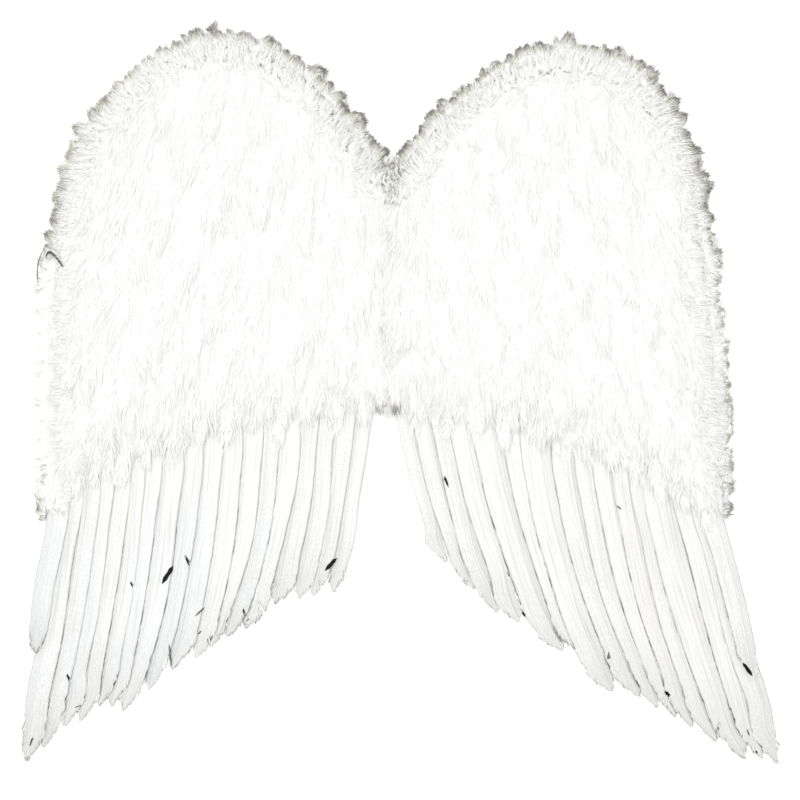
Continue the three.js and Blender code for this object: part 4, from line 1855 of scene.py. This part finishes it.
@dataclass
class MarabouTrim:
    """One lobe's edging of marabou: ragged fluff that stands out all round a soft cord.

    Its grey is painted shade; the styles' shades and specks are those of the plainest or the greyest fluff.
    """

    side: Side
    edge: BoardEdge
    places: tuple[TrimPlace, ...]
    seed: int
    stray: tuple[StrayPlume, ...] = ()
    tops: list[SolidTop] = field(default_factory=list)
    core_inset: float = 2.5 * MM
    core_shade: float = 0.1
    core_worn_down: int = 4
    tuft_pitch: float = 0.22 * MM
    ripples: tuple[tuple[float, float], ...] = ((34 * MM, 0.12), (14 * MM, 0.3), (6 * MM, 0.25))
    grey_ripple: tuple[float, float] = (-1.0, 0.8)
    clump_pitch: float = 4.0 * MM
    clump_reach: tuple[float, float] = (-0.4, 0.3)
    clump_lean: float = 0.35
    clump_gather: float = 0.65
    edge_height: tuple[float, float] = (4 * MM, 14 * MM)
    rim_share: float = 0.5
    rim_length: tuple[float, float] = (1.1, 1.9)
    rim_depth: float = 1.6 * MM
    rim_root: float = 7 * MM
    least_reach: float = 10 * MM
    rim_fade: float = 1.2
    rim_style: TuftStyle = TuftStyle(9, 0.1, 0.1, 0.9 * MM, (0.07, 0.07), 0.5, 0.75)
    cover_length: tuple[float, float] = (3 * MM, 6.5 * MM)
    cover_depth: float = 27 * MM
    cover_lift: tuple[float, float] = (0.2 * MM, 1.2 * MM)
    cover_grey: float = 0.6
    cover_style: TuftStyle = TuftStyle(18, 0.25, 0.12, 0.5 * MM, (0.05, 0.05), 0.3, 0.72)
    lie_spread: float = 0.9
    fall_pitch: float = 2.2 * MM
    fall_rows: int = 2
    fall_inset: tuple[float, float] = (10 * MM, 3 * MM)
    fall_length: float = 34 * MM
    fall_aside: tuple[float, float] = (0.02, 0.05)
    fall_lift: tuple[float, float] = (0.3 * MM, 1.2 * MM)
    fall_style: PlumeStyle = PlumeStyle(40, 18.7 * MM, 0.5 * MM, (0.1, 0.08))
    notch_tufts: int = 50
    notch_beside: float = 14 * MM
    notch_y: tuple[float, float] = (190 * MM, 154 * MM)
    notch_x: float = -8 * MM
    notch_spread: float = 3.4 * MM
    notch_lift: tuple[float, float] = (1 * MM, 4 * MM)
    notch_aside: float = 0.4
    notch_rise: tuple[float, float] = (-0.1, 0.2)
    notch_reach: tuple[float, float] = (4 * MM, 9 * MM)
    notch_fade: float = 0.6
    notch_style: TuftStyle = TuftStyle(9, 0.16, 0.06, 0.6 * MM, (0.08, 0.5), 0.95)

    @property
    def node(self) -> str:
        """The trim's CAD node."""
        return f"marabou_trim_{self.side.value}"

    def build(self, material: bpy.types.Material) -> list[bpy.types.Object]:
        """Makes the cord and the tufts on it.

        Args:
            material: The marabou's finish.

        Returns:
            The trim's objects.
        """
        rng = np.random.default_rng(self.seed)
        core = soft_core(self.node, self.core_inset, 0, self.core_shade, self.core_worn_down)
        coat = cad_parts[f"plume_coat_{self.side.value}"].data
        self.tops = [SolidTop(core), SolidTop(coat)]
        groups = self.tufts(rng) + self.smooth_fall(rng) + self.notch_fall(rng)
        groups = groups + [plume.barbs(rng) for plume in self.stray]
        fluff = Barbs.joined(groups).mesh(self.node + "_fluff")
        pieces = []
        for mesh in (core, fluff):
            mesh.materials.append(material)
            pieces.append(add_object(mesh.name, mesh, Slot.MARABOU, self.node))
        return pieces

    def looks(self, distances: np.ndarray) -> dict[str, np.ndarray]:
        """Reads the trim's looks between its places.

        Args:
            distances: Distances along the edge from the notch.

        Returns:
            Each look at the distances, by its name.
        """
        known = [place.distance for place in self.places]
        return {
            name: np.interp(distances, known, [getattr(place, name) for place in self.places])
            for name in TRIM_LOOKS
        }

    def tufts(self, rng: np.random.Generator) -> list[Barbs]:
        """Sets tufts along the edge from the coat out to a ragged outline, darker towards it: painted shade.

        Args:
            rng: Source of the tufts' unevenness.

        Returns:
            One group of barbs for each tuft.
        """
        groups = []
        for spot in self.tuft_spots(rng):
            if rng.uniform() > spot.look.thickness:
                continue
            if rng.uniform() < self.rim_share:
                groups.append(self.rim_tuft(rng, spot))
            elif spot.look.thickness == 1 and spot.look.ragged > PLAIN_BELOW:
                groups.append(self.cover_tuft(rng, spot))
        return groups

    def tuft_spots(self, rng: np.random.Generator) -> list[TrimSpot]:
        """Spaces the tufts out along the edge, in ripples and clumps.

        Args:
            rng: Source of the unevenness.

        Returns:
            The tufts' spots in order.
        """
        full = self.edge.length
        count = int(full / self.tuft_pitch)
        distances = (np.arange(count) + rng.uniform(0, 1, count)) * self.tuft_pitch
        looks = self.looks(distances)
        for pitch, share in self.ripples:
            crests = np.arange(0, full + pitch, pitch)
            hollow = np.interp(distances, crests, rng.uniform(0, 1, len(crests)))
            looks["reach"] = looks["reach"] * (1 - looks["ragged"] * share * hollow)
            darker = np.interp(distances, crests, rng.uniform(*self.grey_ripple, len(crests)))
            looks["grey"] = looks["grey"] * (1 + share * darker)
        breaks = np.sort(rng.uniform(0, full, int(full / self.clump_pitch)))
        limits = np.concatenate([[0], breaks, [full]])
        middles = (limits[1:] + limits[:-1]) / 2
        clump = np.searchsorted(breaks, distances)
        reach = rng.uniform(*self.clump_reach, len(middles))
        lean = rng.normal(0, self.clump_lean, len(middles))
        values = np.stack([distances, *looks.values()], axis=1)
        rows = zip(*self.edge.at(distances), values, distances - middles[clump], reach[clump], lean[clump])
        return [
            TrimSpot(spot, out, along, TrimPlace(*look), *rest) for spot, out, along, look, *rest in rows
        ]

    def rim_tuft(self, rng: np.random.Generator, spot: TrimSpot) -> Barbs:
        """Makes a tuft that reaches out to the ragged outline.

        Args:
            rng: Source of the tuft's unevenness.
            spot: The tuft's spot.

        Returns:
            The barbs.
        """
        look = spot.look
        length = look.band * rng.uniform(*self.rim_length)
        end = look.reach * (1 + look.ragged * spot.clump_reach) - rng.uniform(0, self.rim_depth)
        end = max(end, self.least_reach)
        length = max(length, end - self.rim_root)
        root = spot.place + spot.out * (end - length)
        root = root + UP * self.ground(root, rng.uniform(*self.edge_height))
        across = spot.clump_lean * length - self.clump_gather * spot.aside
        tip = spot.place + spot.out * end + spot.along * across + UP * rng.uniform(*self.edge_height)
        # Painted shade: grey at the outline, fading towards the tuft's root
        faded = look.grey * math.exp(-self.rim_fade * length / look.band)
        plain_root, plain_tip = self.rim_style.shades
        style = replace(
            self.rim_style,
            shades=(plain_root + faded, plain_tip + look.grey),
            specks=self.rim_style.specks * look.grey,
        )
        return style.tuft(rng, root, tip - root)

    def cover_tuft(self, rng: np.random.Generator, spot: TrimSpot) -> Barbs:
        """Makes a short tuft that lies on the cord between the outline and the coat.

        Args:
            rng: Source of the tuft's unevenness.
            spot: The tuft's spot.

        Returns:
            The barbs.
        """
        look = spot.look
        length = rng.uniform(*self.cover_length)
        depth = rng.uniform(self.rim_depth, self.cover_depth)
        turn = look.lie + rng.normal(0, self.lie_spread)
        way = math.cos(turn) * spot.out + math.sin(turn) * spot.along
        tip = spot.place + spot.out * (look.reach - depth)
        root = tip - length * way
        root = root + UP * self.ground(root)
        tip = tip + UP * (self.ground(tip) + rng.uniform(*self.cover_lift))
        # Painted shade, fading with the distance from the outline
        fading = np.exp(-np.array([depth + length, depth]) / look.band)
        shades = np.clip(self.cover_style.shades + self.cover_grey * look.grey * fading, 0, 1)
        style = replace(self.cover_style, shades=tuple(shades), specks=self.cover_style.specks * shades[1])
        return style.tuft(rng, root, tip - root)

    def smooth_fall(self, rng: np.random.Generator) -> list[Barbs]:
        """Hangs white plumes lengthwise over the cord where its fluff lies flat.

        Args:
            rng: Source of the plumes' unevenness.

        Returns:
            One group of barbs for each plume.
        """
        distances = np.arange(0, self.edge.length, self.fall_pitch)
        spots, outs, alongs = self.edge.at(distances)
        looks = self.looks(distances)
        inner, outer = self.fall_inset
        groups = []
        for i in np.flatnonzero(looks["ragged"] < PLAIN_BELOW):
            for stand_out in rng.uniform(-inner, looks["reach"][i] - outer, self.fall_rows):
                root = spots[i] + outs[i] * stand_out
                way = unit(alongs[i] + outs[i] * rng.normal(*self.fall_aside))
                line = [root + way * self.fall_length * share for share in (0, 0.5, 1)]
                path = [spot + UP * (self.ground(spot) + rng.uniform(*self.fall_lift)) for spot in line]
                groups.append(self.fall_style.plume(rng, np.array(path)))
        return groups

    def ground(self, spot: np.ndarray, beside: float = 12 * MM) -> float:
        """Finds the height of the trim's core or the coat.

        Args:
            spot: A place in the plan.
            beside: The height where neither is under it.

        Returns:
            The height.
        """
        heights = [top.height(spot[0], spot[1]) for top in self.tops]
        return max([height for height in heights if height is not None], default=beside)

    def notch_fall(self, rng: np.random.Generator) -> list[Barbs]:
        """Hangs fluff with painted shade at its tips from the notch down over the top of the coats' seam.

        Args:
            rng: Source of the fluff's unevenness.

        Returns:
            One group of barbs for each tuft.
        """
        groups = []
        style = self.notch_style
        top, foot = self.notch_y
        for _ in range(self.notch_tufts):
            down = rng.uniform(0, 1)
            x = self.notch_x + self.side.outward * abs(rng.normal(0, self.notch_spread))
            root = np.array([x, top + down * (foot - top), 0])
            beside = root + self.side.outward * np.array([self.notch_beside, 0, 0])
            root[2] = max(self.ground(root), self.ground(beside)) + rng.uniform(*self.notch_lift)
            way = unit(np.array([rng.normal(0, self.notch_aside), -1.0, rng.uniform(*self.notch_rise)]))
            grey = 1 - self.notch_fade * down
            reach = way * rng.uniform(*self.notch_reach)
            shades = (style.shades[0], style.shades[1] * grey)
            faded = replace(style, shades=shades, specks=style.specks * grey)
            groups.append(faded.tuft(rng, root, reach))
        return groups


# Edges between faces that meet at a larger angle than this are cut edges
CUT_EDGE = math.radians(30)
# Faces that meet at a smaller angle than this are one flat face
FLAT = math.radians(1)


def rounded_copy(node: str, name: str, radius: float, steps: int = 3) -> bpy.types.Mesh:
    """Copies a cloth piece's solid with its cut edges rounded off.

    Args:
        node: Name of the CAD node.
        name: The mesh's name.
        radius: How far from the edge the rounding starts.
        steps: Number of faces across the rounding.

    Returns:
        The mesh.
    """
    bm = merged_copy(node)
    bmesh.ops.dissolve_limit(bm, angle_limit=FLAT, verts=bm.verts, edges=bm.edges)
    cut = [edge for edge in bm.edges if edge.is_manifold and edge.calc_face_angle() > CUT_EDGE]
    bmesh.ops.bevel(
        bm, geom=cut, offset=radius, offset_type="OFFSET", segments=steps, profile=0.5, affect="EDGES",
        clamp_overlap=True,
    )
    bmesh.ops.triangulate(bm, faces=bm.faces)
    mesh = bpy.data.meshes.new(name)
    bm.to_mesh(mesh)
    bm.free()
    return mesh


@dataclass
class FeltBoard:
    """The stiff felt board that carries everything, die-cut, with edges pressed round by the blade."""

    node: str = "wing_board"
    radius: float = 0.8 * MM

    def build(self, material: bpy.types.Material) -> bpy.types.Object:
        """Makes the board in its finish.

        Args:
            material: The felt's finish.

        Returns:
            The board's object.
        """
        mesh = rounded_copy(self.node, self.node + "_felt", self.radius)
        mesh.materials.append(material)
        return add_object(self.node + "_felt", mesh, Slot.FELT, self.node)


@dataclass
class ElasticStraps:
    """The two shoulder straps behind the board: flat elastic webbing with soft selvedges."""

    nodes: tuple[str, ...] = ("strap_left", "strap_right")
    radius: float = 0.4 * MM

    def build(self, material: bpy.types.Material) -> list[bpy.types.Object]:
        """Makes the straps in their finish.

        Args:
            material: The webbing's finish.

        Returns:
            The straps' objects.
        """
        pieces = []
        for node in self.nodes:
            mesh = rounded_copy(node, node + "_webbing", self.radius)
            mesh.materials.append(material)
            pieces.append(add_object(node + "_webbing", mesh, Slot.ELASTIC, node))
        return pieces


@dataclass
class Studio:
    """A pale floor, soft light from all round and above, and a camera straight over the wings."""

    floor_size: float = 6.0
    floor_colour: str = "#fdfdfc"
    floor_glow: float = 0.08
    floor_roughness: float = 0.95
    sky_strength: float = 0.3
    softbox_size: float = 1.6
    softbox_place: tuple[float, float, float] = (-0.15, 0.2, 2.8)
    softbox_power: float = 88.5
    lens_mm: float = 85.0
    sensor_mm: float = 36.0
    frame_width: float = 640 * MM
    aim: tuple[float, float, float] = (-0.8 * MM, -5.7 * MM, 10 * MM)

    def build(self) -> None:
        """Sets the floor, the lights and the camera."""
        self.floor()
        self.lights()
        self.camera()
        bpy.context.scene.view_settings.view_transform = "Standard"

    def floor(self) -> None:
        """Lays a plain paper floor under the wings, lit a little from below as on a light table."""
        bm = bmesh.new()
        bmesh.ops.create_grid(bm, x_segments=1, y_segments=1, size=self.floor_size / 2)
        mesh = bpy.data.meshes.new("studio_floor")
        bm.to_mesh(mesh)
        bm.free()
        material, _, shader = new_material("studio_paper_matt")
        shader.inputs["Base Color"].default_value = linear(self.floor_colour)
        shader.inputs["Roughness"].default_value = self.floor_roughness
        shader.inputs["Emission Color"].default_value = (1, 1, 1, 1)
        shader.inputs["Emission Strength"].default_value = self.floor_glow
        mesh.materials.append(material)
        floor = bpy.data.objects.new("studio_floor", mesh)
        bpy.context.scene.collection.objects.link(floor)

    def lights(self) -> None:
        """Sets an even sky and a wide soft box over the wings."""
        world = bpy.data.worlds.new("studio_sky")
        world.use_nodes = True
        sky = world.node_tree.nodes["Background"]
        sky.inputs["Color"].default_value = (1, 1, 1, 1)
        sky.inputs["Strength"].default_value = self.sky_strength
        bpy.context.scene.world = world
        lamp = bpy.data.lights.new("softbox", "AREA")
        lamp.shape = "SQUARE"
        lamp.size = self.softbox_size
        lamp.energy = self.softbox_power
        box = bpy.data.objects.new("softbox", lamp)
        box.location = self.softbox_place
        box.rotation_euler = (Vector(self.aim) - box.location).to_track_quat("-Z", "Y").to_euler()
        bpy.context.scene.collection.objects.link(box)

    def camera(self) -> None:
        """Sets the camera over the wings, looking straight down with their top up."""
        lens = bpy.data.cameras.new("camera")
        lens.lens = self.lens_mm
        lens.sensor_width = self.sensor_mm
        lens.sensor_fit = "HORIZONTAL"
        camera = bpy.data.objects.new("camera", lens)
        distance = self.frame_width * self.lens_mm / self.sensor_mm
        camera.location = Vector(self.aim) + Vector((0, 0, distance))
        bpy.context.scene.collection.objects.link(camera)
        bpy.context.scene.camera = camera


# From the notch out: the top, the shoulder, the side and the outermost quill
TRIM_PLACES = {
    Side.LEFT: (
        TrimPlace(0, 1.15, 13 * MM, 4.5 * MM),
        TrimPlace(45 * MM, 1.1, 17 * MM, 4.5 * MM),
        TrimPlace(115 * MM, 1.02, 19 * MM, 5 * MM),
        TrimPlace(150 * MM, 1.02, 18 * MM, 5 * MM),
        TrimPlace(175 * MM, 1.02, 18.5 * MM, 5 * MM),
        TrimPlace(195 * MM, 1.02, 20.5 * MM, 5 * MM),
        TrimPlace(240 * MM, 0.6, 18 * MM, 4 * MM),
        TrimPlace(290 * MM, 0.5, 17 * MM, 8 * MM),
        TrimPlace(335 * MM, 0.5, 20.5 * MM, 8 * MM),
        TrimPlace(360 * MM, 0.5, 18 * MM, 8 * MM),
        TrimPlace(405 * MM, 0.7, 19.5 * MM, 5.5 * MM),
        TrimPlace(425 * MM, 0.1, 19 * MM, 3 * MM, 1.0, 0.15, 1.2),
        TrimPlace(572 * MM, 0.1, 19 * MM, 3 * MM, 1.0, 0.15, 1.2),
        TrimPlace(584 * MM, 0.8, 20.5 * MM, 2.5 * MM, 1.0, 0.6),
        TrimPlace(618 * MM, 0.8, 20.5 * MM, 2.5 * MM, 1.0, 0.8),
        TrimPlace(632 * MM, 0.9, 15 * MM, 2.5 * MM, 0.05, 0.7),
    ),
    Side.RIGHT: (
        TrimPlace(0, 1.15, 13 * MM, 4.5 * MM),
        TrimPlace(40 * MM, 1.15, 16 * MM, 4.5 * MM),
        TrimPlace(115 * MM, 1.15, 21 * MM, 5 * MM),
        TrimPlace(200 * MM, 1.15, 21 * MM, 5 * MM),
        TrimPlace(290 * MM, 1.45, 18.5 * MM, 5 * MM),
        TrimPlace(345 * MM, 1.5, 19 * MM, 5 * MM, 1.0, 0.8),
        TrimPlace(400 * MM, 0.6, 19 * MM, 3 * MM, 1.0, 0.6, 0.6),
        TrimPlace(460 * MM, 0.5, 18 * MM, 2.5 * MM, 1.0, 0.5, 0.6),
        TrimPlace(575 * MM, 0.65, 19 * MM, 2.5 * MM, 1.0, 0.6),
        TrimPlace(597 * MM, 0.7, 19.5 * MM, 2.5 * MM, 0.9, 0.6),
        TrimPlace(608 * MM, 0.9, 14 * MM, 2.5 * MM, 0.05),
    ),
}
# How far the trim's fluff runs on down the outermost quill, and which way
TRIM_RUN_ON = {
    Side.LEFT: (46 * MM, (-0.1, -1.0)),
    Side.RIGHT: (34 * MM, (0.05, -1.0)),
}
# Plumes that have come loose at the left shoulder
STRAY_PLUMES = {
    Side.LEFT: (
        StrayPlume(((-281.6, 107.3, 22), (-277.9, 117.4, 32), (-268.5, 100.5, 22)), 2.6 * MM),
        StrayPlume(((-283.0, 118.0, 14), (-293.0, 101.5, 16), (-288.8, 84.5, 12)), 0.9 * MM),
    ),
    Side.RIGHT: (),
}
# Feathers with barbs that have parted
PARTED = {
    "quill_left_06": [Split(True, 0.57, 0.4, 1.4 * MM)],
    "quill_left_09": [Split(True, 0.54, 0.5, 2.8 * MM)],
}
# Dark wisps of painted shadow in the gaps between the feathers: their ends in mm, their widths and shades
PAINTED_SHADOW_WISPS = {
    Side.LEFT: (
        PaintedShadowWisp((-191.5, -152.9), (-182.6, -138.6), 5.0 * MM),
        PaintedShadowWisp((-165.6, -179.3), (-157.4, -171.9), 1.6 * MM, 0.9),
        PaintedShadowWisp((-167.2, -198.5), (-159.8, -190.3), 1.6 * MM, 0.9),
        PaintedShadowWisp((-61.2, -142.5), (-51.2, -132.2), 3.8 * MM),
        PaintedShadowWisp((-184.0, -220.0), (-186.0, -201.0), 1.4 * MM, 0.85),
        PaintedShadowWisp((-298.4, -284.0), (-295.2, -276.0), 1.6 * MM, 0.9),
        PaintedShadowWisp((-262.0, -252.5), (-256.5, -250.5), 1.0 * MM, 0.9),
        PaintedShadowWisp((-124.5, -183.5), (-121.5, -181.0), 1.0 * MM, 0.85),
    ),
    Side.RIGHT: (
        PaintedShadowWisp((38.1, -75.9), (34.4, -66.0), 2.2 * MM),
        PaintedShadowWisp((176.3, -93.3), (172.4, -90.0), 1.2 * MM, 0.9),
        PaintedShadowWisp((168.2, -223.3), (166.2, -207.0), 2.8 * MM, 0.8),
        PaintedShadowWisp((218.1, -245.5), (211.4, -239.2), 3.2 * MM),
        PaintedShadowWisp((281.6, -226.9), (273.4, -215.8), 3.4 * MM),
        PaintedShadowWisp((288.0, -292.0), (284.6, -286.8), 1.6 * MM),
        PaintedShadowWisp((129.6, -200.6), (121.8, -187.0), 3.0 * MM, 0.6),
        PaintedShadowWisp((102.0, -182.0), (95.0, -173.0), 2.0 * MM, 0.7),
        PaintedShadowWisp((87.5, -148.0), (85.0, -143.0), 1.0 * MM, 0.8),
        PaintedShadowWisp((254.0, -270.0), (247.5, -262.0), 1.6 * MM, 0.7),
        PaintedShadowWisp((279.5, -275.5), (277.5, -269.5), 1.2 * MM, 0.85),
    ),
}


def main() -> None:
    """Builds the studio, then the wings piece by piece, and notes the sizes."""
    logging.basicConfig(level=logging.INFO, format="%(name)s %(message)s")
    Studio().build()
    FeltBoard().build(FeltFinish().material())
    ElasticStraps().build(ElasticFinish().material())
    quill = QuillFinish().material()
    # The frayed barbs' finish: its dark is painted shade, at worn ends and in the wisps between feathers
    frayed = FluffFinish("goose_quill_barbs_frayed", "#ededeb", "#b4b3af", "#0d0d0c", gloss=0.08).material()
    left_fan = QuillFan(
        side=Side.LEFT,
        count=18,
        tones=(-0.8, -0.5, -0.25, 0.0, 0.15),
        parted=PARTED,
        wisps=PAINTED_SHADOW_WISPS[Side.LEFT],
        seed=31,
    )
    right_fan = QuillFan(
        side=Side.RIGHT,
        count=16,
        tones=(0.1, 0.1, 0.0, 0.1, 0.1),
        parted=PARTED,
        wisps=PAINTED_SHADOW_WISPS[Side.RIGHT],
        seed=47,
        creases=(0.4, 1.5),
    )
    left_fan.build(quill, frayed)
    right_fan.build(quill, frayed)
    down = FluffFinish("marabou_down_white_fluffed", "#f3f3f2", "#e8e7e4", "#30302d").material()
    # Marabou whose grey and dark are painted shade towards the trim's outline
    marabou = FluffFinish("marabou_down_smoky_tipped", "#f9f9f7", "#b0afa7", "#1f1f1c").material()
    for side, seed in ((Side.LEFT, 5), (Side.RIGHT, 6)):
        edge = BoardEdge.of(side)
        PlumeCoat(side, edge, seed).build(down)
        trim_edge = edge.run_on(*TRIM_RUN_ON[side])
        MarabouTrim(side, trim_edge, TRIM_PLACES[side], seed + 10, STRAY_PLUMES[side]).build(marabou)


if __name__ == "__main__":
    main()
